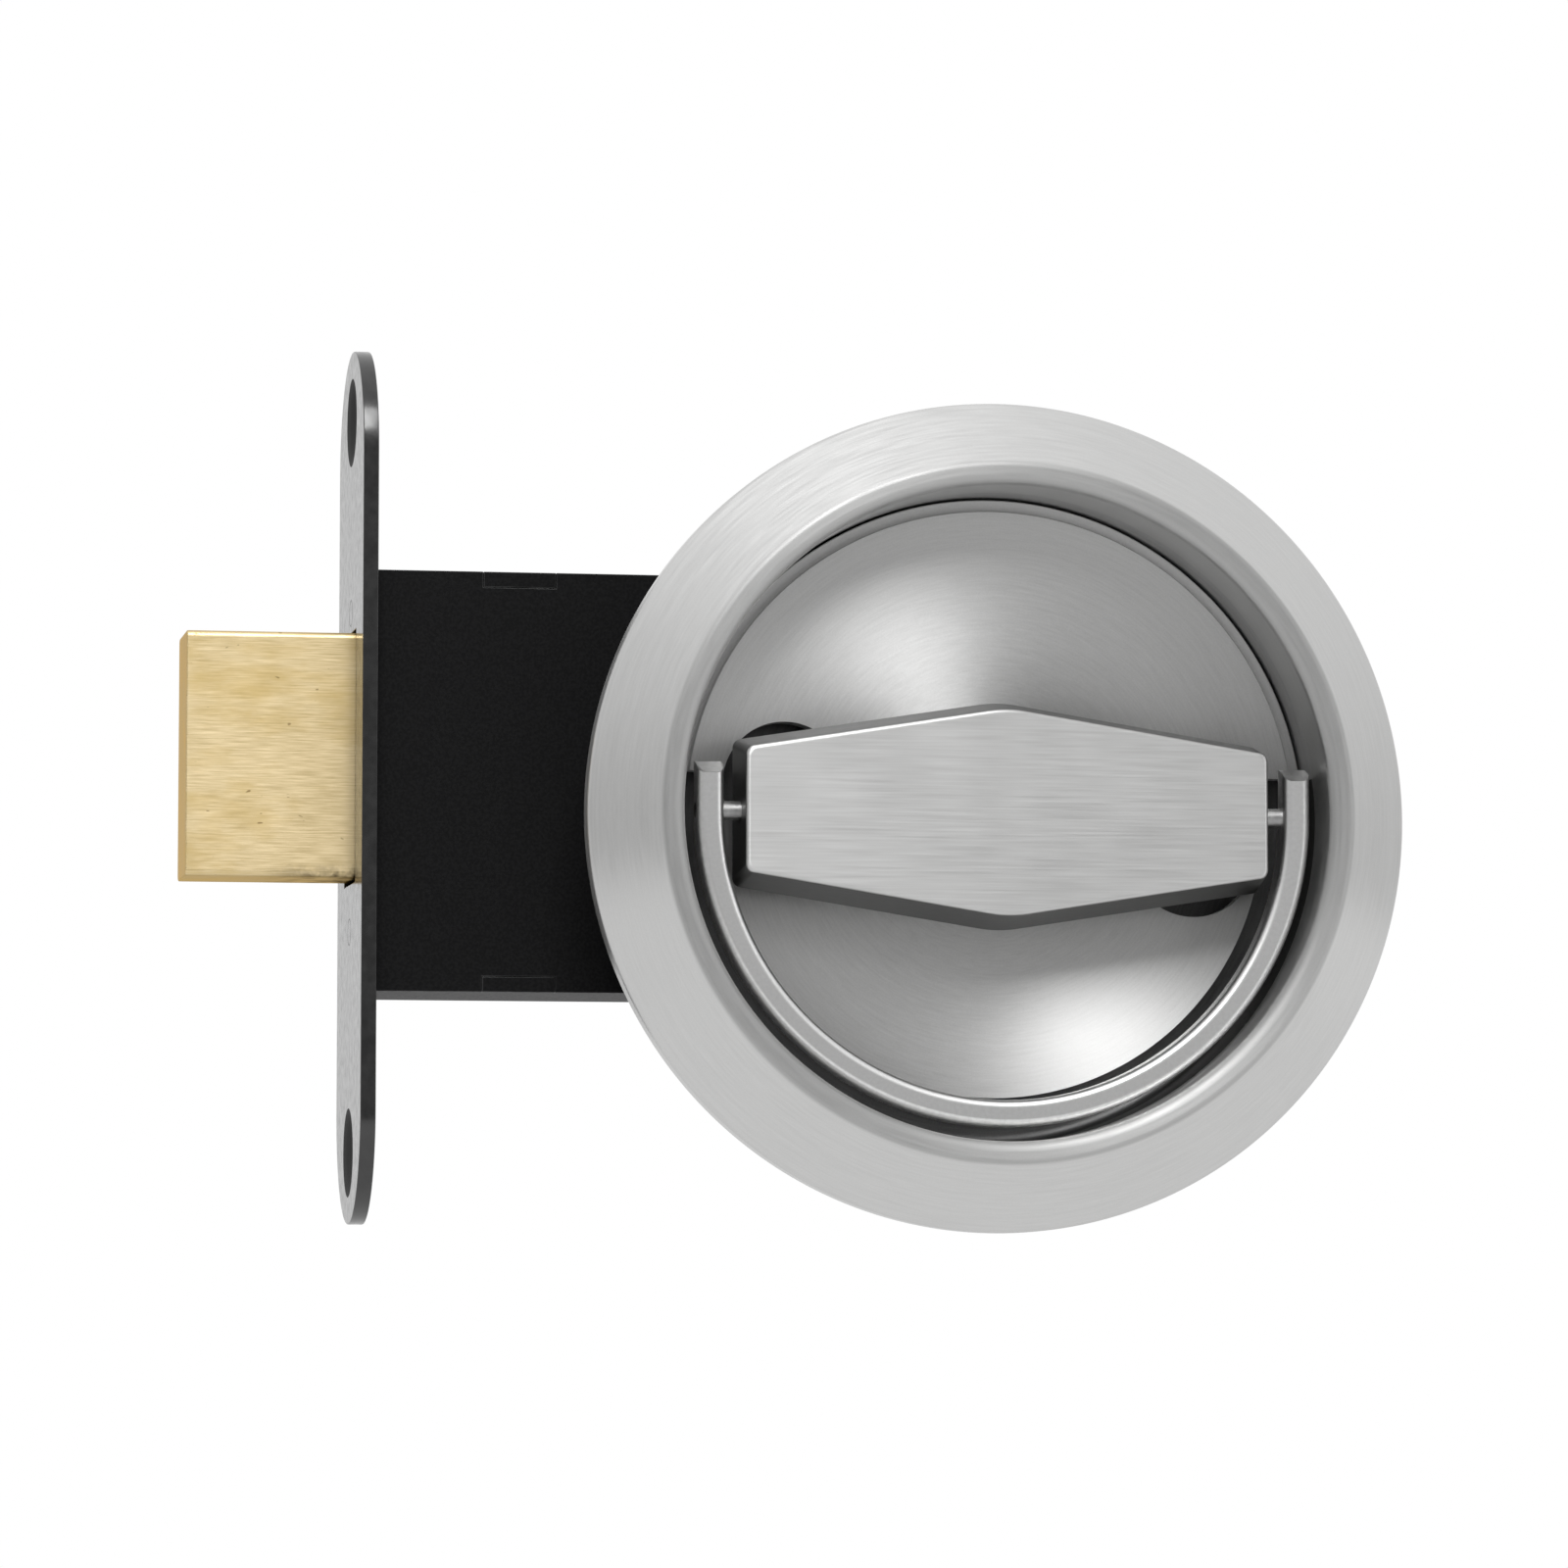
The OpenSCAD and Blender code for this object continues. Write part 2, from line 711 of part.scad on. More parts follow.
// Bar with drafted sides, a round hub behind it and bores for the pivot pins
module turn_bar() color("gainsboro") {
    thin = 0.01;
    difference() {
        union() {
            hull() {
                deep(-bar_front, -bar_front + thin) bar_outline(-bar_edge, -bar_edge);
                deep(-bar_front + bar_edge, -bar_front + bar_edge + thin) bar_outline(0, 0);
                deep(-bar_back - thin, -bar_back) bar_outline(bar_draft, bar_end_draft);
            }
            stem([0, 0], -bar_back - eps, -hub_back, hub_r);
        }
        for (s = [0, 180]) {
            rotate([0, s, 0]) {
                rod(bar_half - pin_grip - run_clear, leg_in, -pivot_h, 0, pin_d / 2 + run_clear);
            }
        }
        deep(-hub_back - socket_len, -hub_back + eps) {
            square(spindle_w + 2 * run_clear, center = true);
        }
        rod(-hub_r - eps, hub_r + eps, cross_y, 0, cross_d / 2);
        turned() translate([hub_r - clip_groove, clip_back]) square([clip_groove + eps, clip_t]);
    }
}

// Washer between the cup and the circlip
module hub_washer() color("silver") {
    turned() translate([hub_r + run_clear, clip_front]) square([washer_w, washer_t]);
}

// Open ring in the hub's groove
module hub_circlip() color("dimgray") {
    difference() {
        turned() translate([hub_r - clip_groove, clip_back]) square([clip_groove + clip_w, clip_t]);
        translate([-clip_open / 2, -clip_front - eps, -hub_r - clip_w - eps]) {
            cube([clip_open, clip_t + 2 * eps, hub_r]);
        }
    }
}

// Square spindle from the hub through the follower
module spindle() color("silver") {
    difference() {
        deep(-hub_back - socket_len, case_back - spindle_inset) square(spindle_w, center = true);
        rod(-hub_r, hub_r, cross_y, 0, cross_d / 2);
    }
}

// Pin through hub and spindle
module cross_pin() color("darkgray") {
    length = sqrt(hub_r * hub_r - cross_d * cross_d / 4);
    rod(-length, length, cross_y, 0, cross_d / 2);
}

// Follower that turns in the case and drives the bolt's tail
module follower() color("slategray") {
    difference() {
        union() {
            stem([0, 0], case_front + follower_inset, case_back - follower_inset, follower_r);
            stem([0, 0], cover_back + flange_gap, cover_back + flange_gap + flange_t, flange_d / 2);
            stem([0, 0], tray_back - flange_gap - flange_t, tray_back - flange_gap, flange_d / 2);
            deep(case_mid - arm_t / 2, case_mid + arm_t / 2) rotate(turn_deg / 2) {
                translate([-arm_w / 2, 0]) square([arm_w, arm_r]);
                translate([0, arm_r]) circle(arm_tip_d / 2);
            }
        }
        deep(case_front - eps, case_back + eps) square(spindle_w + 2 * run_clear, center = true);
    }
}

// Half-round bail with short bevelled tails above its pivots
module bail() color("whitesmoke") {
    difference() {
        union() {
            translate([0, -pivot_h, -bail_drop]) rotate([90, 180, 0]) rotate_extrude(angle = 180) {
                translate([bail_r, 0]) soft_rect(bail_w, bail_t, bail_edge);
            }
            for (s = [-1, 1]) {
                translate([s * bail_r, -pivot_h, -bail_drop]) linear_extrude(tail_len + bail_drop) {
                    soft_rect(bail_w, bail_t, bail_edge);
                }
            }
        }
        translate([-rose_r, -pivot_h - bail_t / 2, tail_len - tail_bevel]) rotate([45, 0, 0]) {
            translate([0, -tail_bevel, 0]) cube([rose_d, 4 * tail_bevel, 2 * tail_bevel]);
        }
        for (s = [0, 180]) {
            rotate([0, s, 0]) rod(leg_in - eps, leg_out + eps, -pivot_h, 0, pin_end_d / 2);
        }
    }
}

// Shouldered pins riveted into the bail's legs, which turn in the bar
module pivot_pins() color("silver") {
    for (s = [0, 180]) {
        rotate([0, s, 0]) {
            rod(bar_half - pin_grip, leg_in, -pivot_h, 0, pin_d / 2);
            rod(leg_in, leg_out, -pivot_h, 0, pin_end_d / 2);
        }
    }
}

// Square-ended brass bolt, slotted at the back for its tail
module bolt_head() color("darkgoldenrod") {
    difference() {
        across(bolt_tip, bolt_back) translate([case_mid, bolt_rise]) soft_rect(bolt_t, bolt_h, bolt_edge);
        translate([tongue_x, case_mid - strap_t / 2, tongue_low]) {
            cube([tongue_len + eps, strap_t, tongue_top - tongue_low]);
        }
        for (s = strap_rivet_spots) {
            stem(s, case_mid - bolt_t, case_mid + bolt_t, strap_rivet_d / 2);
        }
    }
}

// Steel tail with a guide slot, a notch for the follower and two detent notches
module bolt_tail() color("darkgray") {
    slot_w = guide_d + 2 * screw_clear;
    notch_z = nose_low - notch_drop;
    notch_w = (strap_top + eps - notch_z) / notch_rise;
    difference() {
        deep(case_mid - strap_t / 2, case_mid + strap_t / 2) difference() {
            union() {
                translate([tongue_x, tongue_low]) square([tongue_end - tongue_x, tongue_top - tongue_low]);
                translate([bolt_back, strap_low]) square([strap_end - bolt_back, strap_top - strap_low]);
            }
            translate([talon_x - talon_w / 2, strap_low - eps]) {
                square([talon_w, talon_top - strap_low + eps]);
            }
            translate([guide_x - bolt_throw, strap_mid - slot_w / 2]) square([bolt_throw, slot_w]);
            for (x = [guide_x - bolt_throw, guide_x]) {
                translate([x, strap_mid]) circle(slot_w / 2);
            }
            for (x = [nose_x, nose_x - bolt_throw]) {
                polygon([[x, notch_z], [x + notch_w, strap_top + eps], [x - notch_w, strap_top + eps]]);
            }
        }
        for (s = strap_rivet_spots) {
            stem(s, case_mid - strap_t, case_mid + strap_t, strap_rivet_d / 2);
        }
    }
}

// Rivets filed flush with the bolt's sides
module tail_rivets() color("goldenrod") {
    for (s = strap_rivet_spots) {
        stem(s, case_mid - bolt_t / 2, case_mid + bolt_t / 2, strap_rivet_d / 2);
    }
}

rose_ring();
ring_screws();
rose_cup();
hub_bush();
dish();
dish_posts();
fixing_screws();
case_body();
case_cover();
case_pillars();
guide_post();
face_plate();
plate_rivets();
detent_spring();
spring_post();
turn_bar();
hub_washer();
hub_circlip();
spindle();
cross_pin();
follower();
bail();
pivot_pins();
bolt_head();
bolt_tail();
tail_rivets();
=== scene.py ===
"""Flush ring pull with a mortise deadbolt.

A satin steel ring, dish, bow-tie bar and bail stand in front of a black lock case with a brass bolt.
"""

import math

import bmesh
import bpy
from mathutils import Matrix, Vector


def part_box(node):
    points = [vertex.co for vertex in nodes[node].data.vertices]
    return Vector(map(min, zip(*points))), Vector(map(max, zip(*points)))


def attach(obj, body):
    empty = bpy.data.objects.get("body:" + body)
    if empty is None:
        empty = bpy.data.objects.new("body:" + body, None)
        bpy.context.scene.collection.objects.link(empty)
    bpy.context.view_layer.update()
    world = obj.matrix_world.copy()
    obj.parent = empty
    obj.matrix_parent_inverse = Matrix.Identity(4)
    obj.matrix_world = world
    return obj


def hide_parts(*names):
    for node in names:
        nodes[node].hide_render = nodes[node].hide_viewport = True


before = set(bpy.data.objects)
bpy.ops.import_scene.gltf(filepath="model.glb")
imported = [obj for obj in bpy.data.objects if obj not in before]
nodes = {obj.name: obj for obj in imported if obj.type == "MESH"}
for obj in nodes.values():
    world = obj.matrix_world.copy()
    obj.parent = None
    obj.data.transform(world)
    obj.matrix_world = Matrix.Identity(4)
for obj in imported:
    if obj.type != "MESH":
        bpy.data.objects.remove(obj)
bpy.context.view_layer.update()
scene = bpy.context.scene
scene.view_settings.view_transform = "Standard"
mm = 0.001


# Camera
# A long lens at arm's length, a little below the pull and on the side of the bolt.
azimuth = math.radians(-9.8)
elevation = math.radians(-4.95)
camera_distance = 0.65
aim = Vector((-20.602, 0, 2.987)) * mm
towards = Vector((
    math.sin(azimuth) * math.cos(elevation),
    -math.cos(azimuth) * math.cos(elevation),
    math.sin(elevation),
))
lens = bpy.data.cameras.new("camera")
lens.sensor_width = 36
lens.lens = 155.478
camera = bpy.data.objects.new("camera", lens)
camera.location = aim + towards * camera_distance
camera.rotation_euler = (-towards).to_track_quat("-Z", "Y").to_euler()
scene.collection.objects.link(camera)
scene.camera = camera


# Studio
# White surroundings, a pale floor well below the pull, and soft lamps above in front and to the right.
# In reflections the room is white behind the pull and dimmer on the side of the camera.
def add_node(tree, kind, **settings):
    """A new node in a tree, with its settings."""
    made = tree.nodes.new(kind)
    for name, value in settings.items():
        setattr(made, name, value)
    return made


def feed(tree, socket, source):
    """Link a socket from another socket, or set it to a plain value."""
    if isinstance(source, bpy.types.NodeSocket):
        tree.links.new(source, socket)
    else:
        socket.default_value = source
    return socket


def maths(tree, operation, a, b=0.0):
    """Result of a Math node on two numbers or sockets."""
    made = add_node(tree, "ShaderNodeMath", operation=operation)
    feed(tree, made.inputs[0], a)
    feed(tree, made.inputs[1], b)
    return made.outputs[0]


def vectors(tree, operation, a, b=(0, 0, 0)):
    """Result of a Vector Math node on two vectors or sockets."""
    made = add_node(tree, "ShaderNodeVectorMath", operation=operation)
    feed(tree, made.inputs[0], a)
    feed(tree, made.inputs[1], b)
    return made.outputs["Value" if operation in ("DOT_PRODUCT", "LENGTH") else "Vector"]


def spread(tree, value, low, high, to_low, to_high):
    """A value carried from one range to another, and held inside it."""
    made = add_node(tree, "ShaderNodeMapRange")
    for socket, source in zip(made.inputs, (value, low, high, to_low, to_high)):
        feed(tree, socket, source)
    return made.outputs["Result"]


def seen_directly(tree):
    """One for rays from the camera, and for those that mirrors and glass send on."""
    path = add_node(tree, "ShaderNodeLightPath").outputs
    sent_on = maths(tree, "MAXIMUM", path["Is Glossy Ray"], path["Is Transmission Ray"])
    return maths(tree, "MAXIMUM", path["Is Camera Ray"], sent_on)


def on_piece(tree):
    """Place of a point in its object's own coordinates."""
    return add_node(tree, "ShaderNodeTexCoord").outputs["Object"]


room_bright = Vector((0.0, 0.62, 0.75)).normalized()
room_lean_dim, room_lean_bright = -0.75, 0.55
room_dim_level = 0.22
room_bright_level = 1.0
room_light = 0.45

world = bpy.data.worlds.new("studio")
world.use_nodes = True
scene.world = world
tree = world.node_tree
tree.nodes.clear()
direction = add_node(tree, "ShaderNodeTexCoord").outputs["Generated"]
lean = vectors(tree, "DOT_PRODUCT", direction, room_bright)
room = spread(tree, lean, room_lean_dim, room_lean_bright, room_dim_level, room_bright_level)
camera_ray = add_node(tree, "ShaderNodeLightPath").outputs["Is Camera Ray"]
level = maths(tree, "MAXIMUM", camera_ray, room)
level = maths(tree, "MULTIPLY", level, spread(tree, seen_directly(tree), 0, 1, room_light, 1))
background = add_node(tree, "ShaderNodeBackground")
background.inputs["Color"].default_value = (1, 1, 1, 1)
feed(tree, background.inputs["Strength"], level)
output = add_node(tree, "ShaderNodeOutputWorld")
feed(tree, output.inputs["Surface"], background.outputs[0])

floor_z = -0.34
floor_size = 6
floor_back = 1.2
fade_from, fade_to = 0.5, 1.7
floor_white = 0.8
floor_mesh = bpy.data.meshes.new("floor")
floor_mesh.from_pydata(
    [
        (x * floor_size / 2, floor_back + y * floor_size / 2, floor_z)
        for x, y in ((-1, -1), (1, -1), (1, 1), (-1, 1))
    ],
    [],
    [(0, 1, 2, 3)],
)
floor = bpy.data.objects.new("floor", floor_mesh)
scene.collection.objects.link(floor)
paper = bpy.data.materials.new("floor_paper")
paper.use_nodes = True
tree = paper.node_tree
tree.nodes.clear()
matt = add_node(tree, "ShaderNodeBsdfDiffuse")
matt.inputs["Color"].default_value = (0.85, 0.85, 0.85, 1)
white = add_node(tree, "ShaderNodeEmission")
mixed = add_node(tree, "ShaderNodeMixShader")
whiteness = spread(tree, vectors(tree, "LENGTH", on_piece(tree)), fade_from, fade_to, floor_white, 1)
feed(tree, mixed.inputs[0], maths(tree, "MULTIPLY", seen_directly(tree), whiteness))
feed(tree, mixed.inputs[1], matt.outputs[0])
feed(tree, mixed.inputs[2], white.outputs[0])
output = add_node(tree, "ShaderNodeOutputMaterial")
feed(tree, output.inputs["Surface"], mixed.outputs[0])
floor_mesh.materials.append(paper)


def softbox(name, place, size, power):
    """Rectangular lamp that looks at the pull from a place given in metres."""
    lamp = bpy.data.lights.new(name, "AREA")
    lamp.shape = "RECTANGLE"
    lamp.size, lamp.size_y = size
    lamp.energy = power
    holder = bpy.data.objects.new(name, lamp)
    holder.location = place
    holder.rotation_euler = (-Vector(place)).to_track_quat("-Z", "Y").to_euler()
    scene.collection.objects.link(holder)


softbox("key_softbox", (-0.17, -1.26, 1.12), (0.7, 0.7), 15)
softbox("side_fill", (1.3, -1.2, 0.1), (0.8, 1.2), 3)


# Rose ring
# A hollow ring cast in stainless steel, turned and brushed in circles to a satin finish.
# It has a straight edge, a conical flank, a narrow crest and a rounded lip round the well.
def box_mm(node):
    """Low and high corner of a CAD node's box, in mm."""
    return [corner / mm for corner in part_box(node)]


ring_low, ring_high = box_mm("rose_ring")
rose_r = ring_high.x
crest_h = -ring_low.y
rim_h = 2.3
flank_w = 6.6
lip_w = 2
lip_drop = 0.1
crest_r = rose_r - flank_w
well_r = crest_r - lip_w
lip_h = crest_h - lip_drop
ring_wall = 1.5
flange_h = 1.5
lip_soft, crest_soft, rim_soft, back_soft = 1.1, 0.7, 0.8, 0.15


def rounded(points, radii, steps=6, guard=0.04):
    """Outline whose corners are arcs, with a guard point beside each arc that keeps the flats flat."""
    outline = []
    for i, point in enumerate(points):
        p = Vector(point)
        if not radii[i]:
            outline.append(p)
            continue
        u = (Vector(points[i - 1]) - p).normalized()
        w = (Vector(points[(i + 1) % len(points)]) - p).normalized()
        half = math.acos(max(-1, min(1, u.dot(w)))) / 2
        reach = radii[i] / math.tan(half)
        centre = p + (u + w).normalized() * radii[i] / math.sin(half)
        start, end = p + u * reach - centre, p + w * reach - centre
        first = math.atan2(start.y, start.x)
        sweep = (math.atan2(end.y, end.x) - first + 3 * math.pi) % (2 * math.pi) - math.pi
        outline.append(p + u * (reach + guard))
        for k in range(steps + 1):
            a = first + sweep * k / steps
            outline.append(centre + radii[i] * Vector((math.cos(a), math.sin(a))))
        outline.append(p + w * (reach + guard))
    return outline


smooth_up_to = 35
large_turns = 288


def solid(name, verts, faces, sharp=smooth_up_to):
    """Mesh object in metres from points in mm, closed, facing outwards and shaded smooth up to an angle."""
    mesh = bpy.data.meshes.new(name)
    mesh.from_pydata([Vector(v) * mm for v in verts], [], faces)
    work = bmesh.new()
    work.from_mesh(mesh)
    bmesh.ops.remove_doubles(work, verts=work.verts, dist=1e-8)
    bmesh.ops.recalc_face_normals(work, faces=work.faces)
    work.to_mesh(mesh)
    work.free()
    mesh.shade_smooth()
    mesh.set_sharp_from_angle(angle=math.radians(sharp))
    made = bpy.data.objects.new(name, mesh)
    scene.collection.objects.link(made)
    return made


def lathe(profile, turns=large_turns):
    """Points and faces of a closed profile of radius and height, turned about the spindle axis."""
    n = len(profile)
    verts = [
        (r * math.cos(a), -h, r * math.sin(a))
        for a in (2 * math.pi * i / turns for i in range(turns))
        for r, h in profile
    ]
    faces = [
        (i * n + j, i * n + (j + 1) % n, (i + 1) % turns * n + (j + 1) % n, (i + 1) % turns * n + j)
        for i in range(turns)
        for j in range(n)
    ]
    return verts, faces


def metal(name, colour, roughness, anisotropy=0.0):
    """Metal with its Principled shader; returns the material, its tree and the shader."""
    made = bpy.data.materials.new(name)
    made.use_nodes = True
    shader = made.node_tree.nodes["Principled BSDF"]
    shader.inputs["Base Color"].default_value = (*colour, 1)
    shader.inputs["Metallic"].default_value = 1
    shader.inputs["Roughness"].default_value = roughness
    shader.inputs["Anisotropic"].default_value = anisotropy
    return made, made.node_tree, shader


def noise(tree, where, scale, detail=3.0, rough=0.55):
    """Noise texture at a place, as a number about a half."""
    made = add_node(tree, "ShaderNodeTexNoise")
    feed(tree, made.inputs["Vector"], where)
    made.inputs["Scale"].default_value = scale
    made.inputs["Detail"].default_value = detail
    made.inputs["Roughness"].default_value = rough
    return made.outputs["Fac"]


def tint(tree, amount, ground, colour):
    """Colour that goes from a ground, which may be a socket, to another colour by an amount."""
    made = add_node(tree, "ShaderNodeMix", data_type="RGBA")
    feed(tree, made.inputs[0], amount)
    feed(tree, made.inputs[6], ground if isinstance(ground, bpy.types.NodeSocket) else (*ground, 1))
    made.inputs[7].default_value = (*colour, 1)
    return made.outputs[2]


def relief(tree, shader, height, distance, strength=1.0):
    """Bump on a shader from a height, with its depth in metres."""
    made = add_node(tree, "ShaderNodeBump")
    made.inputs["Strength"].default_value = strength
    made.inputs["Distance"].default_value = distance
    feed(tree, made.inputs["Height"], height)
    feed(tree, shader.inputs["Normal"], made.outputs["Normal"])


def in_world(tree, vector):
    """A direction of the piece, as it lies in the scene."""
    made = add_node(
        tree, "ShaderNodeVectorTransform", vector_type="VECTOR", convert_from="OBJECT", convert_to="WORLD",
    )
    feed(tree, made.inputs[0], vector)
    return made.outputs[0]


def toned(tree, colour, tone):
    """A colour made deeper by a tone below one."""
    made = add_node(tree, "ShaderNodeVectorMath", operation="SCALE")
    feed(tree, made.inputs[0], colour)
    feed(tree, made.inputs["Scale"], tone)
    return made.outputs[0]


def split(tree, vector):
    """Parts of a vector, by the names of its axes."""
    made = add_node(tree, "ShaderNodeSeparateXYZ")
    feed(tree, made.inputs[0], vector)
    return made.outputs


streak_scale = 4.5
streak_turn = 1.6
streak_rise = 0.5
streak_share = 0.65
rough_swing = 0.05
brush_depth = 0.004 * mm
brush_strength = 0.6
rolled_painted_shade = 0.75
rolled_dull = 0.16
rolled_past = 0.1
rolled_fade = 0.3


def blended(tree, ground, over, share):
    """Two numbers added up, the second with a share and the first with the rest."""
    rest = maths(tree, "MULTIPLY", ground, 1 - share)
    return maths(tree, "ADD", maths(tree, "MULTIPLY", over, share), rest)


def brushed_in_circles(name, dark, light, roughness, anisotropy, grain, rolled_and_shaded=None):
    """Steel brushed in circles about the spindle axis, whose highlights stretch across the lines.

    Between the two radii of the rolled band, the steel is only rolled: duller, and deeper in tone by a
    painted shade that also damps the crest's highlight.
    """
    made, tree, shader = metal(name, light, roughness, anisotropy)
    spot = on_piece(tree)
    outward = vectors(tree, "MULTIPLY", spot, (1, 0, 1))
    normal = add_node(tree, "ShaderNodeNewGeometry").outputs["Normal"]
    round_about = vectors(tree, "NORMALIZE", vectors(tree, "CROSS_PRODUCT", (0, 1, 0), outward))
    feed(tree, shader.inputs["Tangent"], vectors(tree, "CROSS_PRODUCT", in_world(tree, round_about), normal))
    radius = vectors(tree, "LENGTH", outward)
    parts = split(tree, spot)
    turn = maths(tree, "ARCTAN2", parts["Z"], parts["X"])
    lines = add_node(tree, "ShaderNodeCombineXYZ")
    feed(tree, lines.inputs["X"], maths(tree, "MULTIPLY", radius, 1 / mm))
    feed(tree, lines.inputs["Y"], maths(tree, "MULTIPLY", maths(tree, "ABSOLUTE", turn), streak_turn))
    feed(tree, lines.inputs["Z"], maths(tree, "MULTIPLY", parts["Y"], streak_rise / mm))
    streaks = noise(tree, lines.outputs[0], streak_scale, 4)
    speckle = noise(tree, spot, grain / mm, 2)
    mixed = blended(tree, speckle, streaks, streak_share)
    colour = tint(tree, spread(tree, mixed, 0.3, 0.7, 0, 1), dark, light)
    rough = spread(tree, streaks, 0.3, 0.7, roughness - rough_swing, roughness + rough_swing)
    if rolled_and_shaded:
        inner, outer = rolled_and_shaded
        band = maths(
            tree, "MULTIPLY",
            spread(tree, radius, inner * mm, (inner + rolled_fade) * mm, 0, 1),
            spread(tree, radius, outer * mm, (outer + rolled_fade) * mm, 1, 0),
        )
        # Painted shade: the band's colour is deepened, which damps the lip's highlight.
        colour = toned(tree, colour, spread(tree, band, 0, 1, 1, rolled_painted_shade))
        rough = maths(tree, "ADD", rough, maths(tree, "MULTIPLY", band, rolled_dull))
    feed(tree, shader.inputs["Base Color"], colour)
    feed(tree, shader.inputs["Roughness"], rough)
    relief(tree, shader, mixed, brush_depth, brush_strength)
    return made


def dress(piece, *finishes):
    """Give a piece its finishes, the first of them all over."""
    piece.data.materials.clear()
    for finish in finishes:
        piece.data.materials.append(finish)


hollow_slope = (crest_h - rim_h) / (rose_r - crest_r)
hollow_drop = ring_wall * math.sqrt(1 + hollow_slope ** 2)
hollow = [
    (r, rim_h + (rose_r - r) * hollow_slope - hollow_drop)
    for r in (rose_r - ring_wall, well_r + ring_wall)
]
ring = solid("rose_ring_satin", *lathe(rounded(
    [
        (well_r, flange_h), (well_r, lip_h), (crest_r, crest_h), (rose_r, rim_h), (rose_r, 0),
        (rose_r - ring_wall, 0), *hollow, (well_r + ring_wall, flange_h),
    ],
    [0, lip_soft, crest_soft, rim_soft, back_soft, 0, 0, 0, 0],
)))
# The lip band from the well to just past the crest carries painted shade.
satin_steel = brushed_in_circles(
    "satin_steel", (0.57, 0.57, 0.565), (0.66, 0.66, 0.655), 0.36, 0.6, 9,
    rolled_and_shaded=(well_r, crest_r + rolled_past),
)
dress(ring, satin_steel)
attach(ring, "lock")
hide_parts("rose_ring")


# Rose cup
# A pressed steel cup that drops into the door; its flange lies inside the ring and takes the ring's screws.
# Round the dish its wall shows, in painted shade in the bail's groove and painted lighter above it.
cup_high = box_mm("rose_cup")[1]
cup_wall = 1.5
cup_back = -cup_high.y
cup_floor = cup_back + cup_wall
flange_r = cup_high.x
bush_r = 10.55
small_r = 1.25
sink_h = 1.2
small_circle = (well_r + rose_r) / 2
sink_slack = 0.06
sink_hole = small_r + sink_slack
sink_mouth = sink_hole + sink_h
sink_from, sink_to = -0.5, 3
small_turns = 48
cup_bend, cup_neck, flange_soft, floor_soft = 2.5, 0.3, 0.1, 1
spot_count = 4
first_spot = math.radians(45)
wall_slack = 0.05
groove_top = 4.3


def carve(piece, *cutters):
    """Cut the cutters out of a piece, and drop them."""
    for cutter in cutters:
        cut = piece.modifiers.new("cut", "BOOLEAN")
        cut.object = cutter
        cut.solver = "EXACT"
    freeze(piece)
    for cutter in cutters:
        bpy.data.meshes.remove(cutter.data)


def freeze(piece):
    """Turn what a piece's modifiers make into its plain mesh."""
    made = bpy.data.meshes.new_from_object(piece.evaluated_get(bpy.context.evaluated_depsgraph_get()))
    piece.modifiers.clear()
    old, piece.data = piece.data, made
    made.name = old.name
    bpy.data.meshes.remove(old)


def set_in_circle(piece, count, circle, first_turn, finish):
    """Copies of one fastener at even turns of a circle round the spindle axis, made one mesh."""
    tree = bpy.data.node_groups.new(piece.name + "_circle", "GeometryNodeTree")
    face = tree.interface
    face.new_socket("Fastener", in_out="INPUT", socket_type="NodeSocketGeometry")
    sizes = [
        ("Count", "NodeSocketInt", count),
        ("Circle radius", "NodeSocketFloat", circle * mm),
        ("First turn", "NodeSocketFloat", first_turn),
        ("Finish", "NodeSocketMaterial", finish),
    ]
    sockets = [face.new_socket(label, in_out="INPUT", socket_type=kind) for label, kind, _ in sizes]
    face.new_socket("Set", in_out="OUTPUT", socket_type="NodeSocketGeometry")
    given = add_node(tree, "NodeGroupInput").outputs
    number = add_node(tree, "GeometryNodeInputIndex").outputs[0]
    turn = maths(tree, "MULTIPLY", number, maths(tree, "DIVIDE", 2 * math.pi, given["Count"]))
    turn = maths(tree, "ADD", turn, given["First turn"])
    place = add_node(tree, "ShaderNodeCombineXYZ")
    for axis, wave in (("X", "COSINE"), ("Z", "SINE")):
        reach = maths(tree, "MULTIPLY", maths(tree, wave, turn), given["Circle radius"])
        feed(tree, place.inputs[axis], reach)
    spots = add_node(tree, "GeometryNodePoints")
    feed(tree, spots.inputs["Count"], given["Count"])
    feed(tree, spots.inputs["Position"], place.outputs[0])
    placed = add_node(tree, "GeometryNodeInstanceOnPoints")
    feed(tree, placed.inputs["Points"], spots.outputs[0])
    feed(tree, placed.inputs["Instance"], given["Fastener"])
    real = add_node(tree, "GeometryNodeRealizeInstances")
    feed(tree, real.inputs["Geometry"], placed.outputs["Instances"])
    dressed = add_node(tree, "GeometryNodeSetMaterial")
    feed(tree, dressed.inputs["Geometry"], real.outputs["Geometry"])
    feed(tree, dressed.inputs["Material"], given["Finish"])
    feed(tree, add_node(tree, "NodeGroupOutput").inputs["Set"], dressed.outputs["Geometry"])
    dress(piece, finish)
    circle_of = piece.modifiers.new("circle", "NODES")
    circle_of.node_group = tree
    for socket, (_, _, value) in zip(sockets, sizes):
        circle_of[socket.identifier] = value
    freeze(piece)
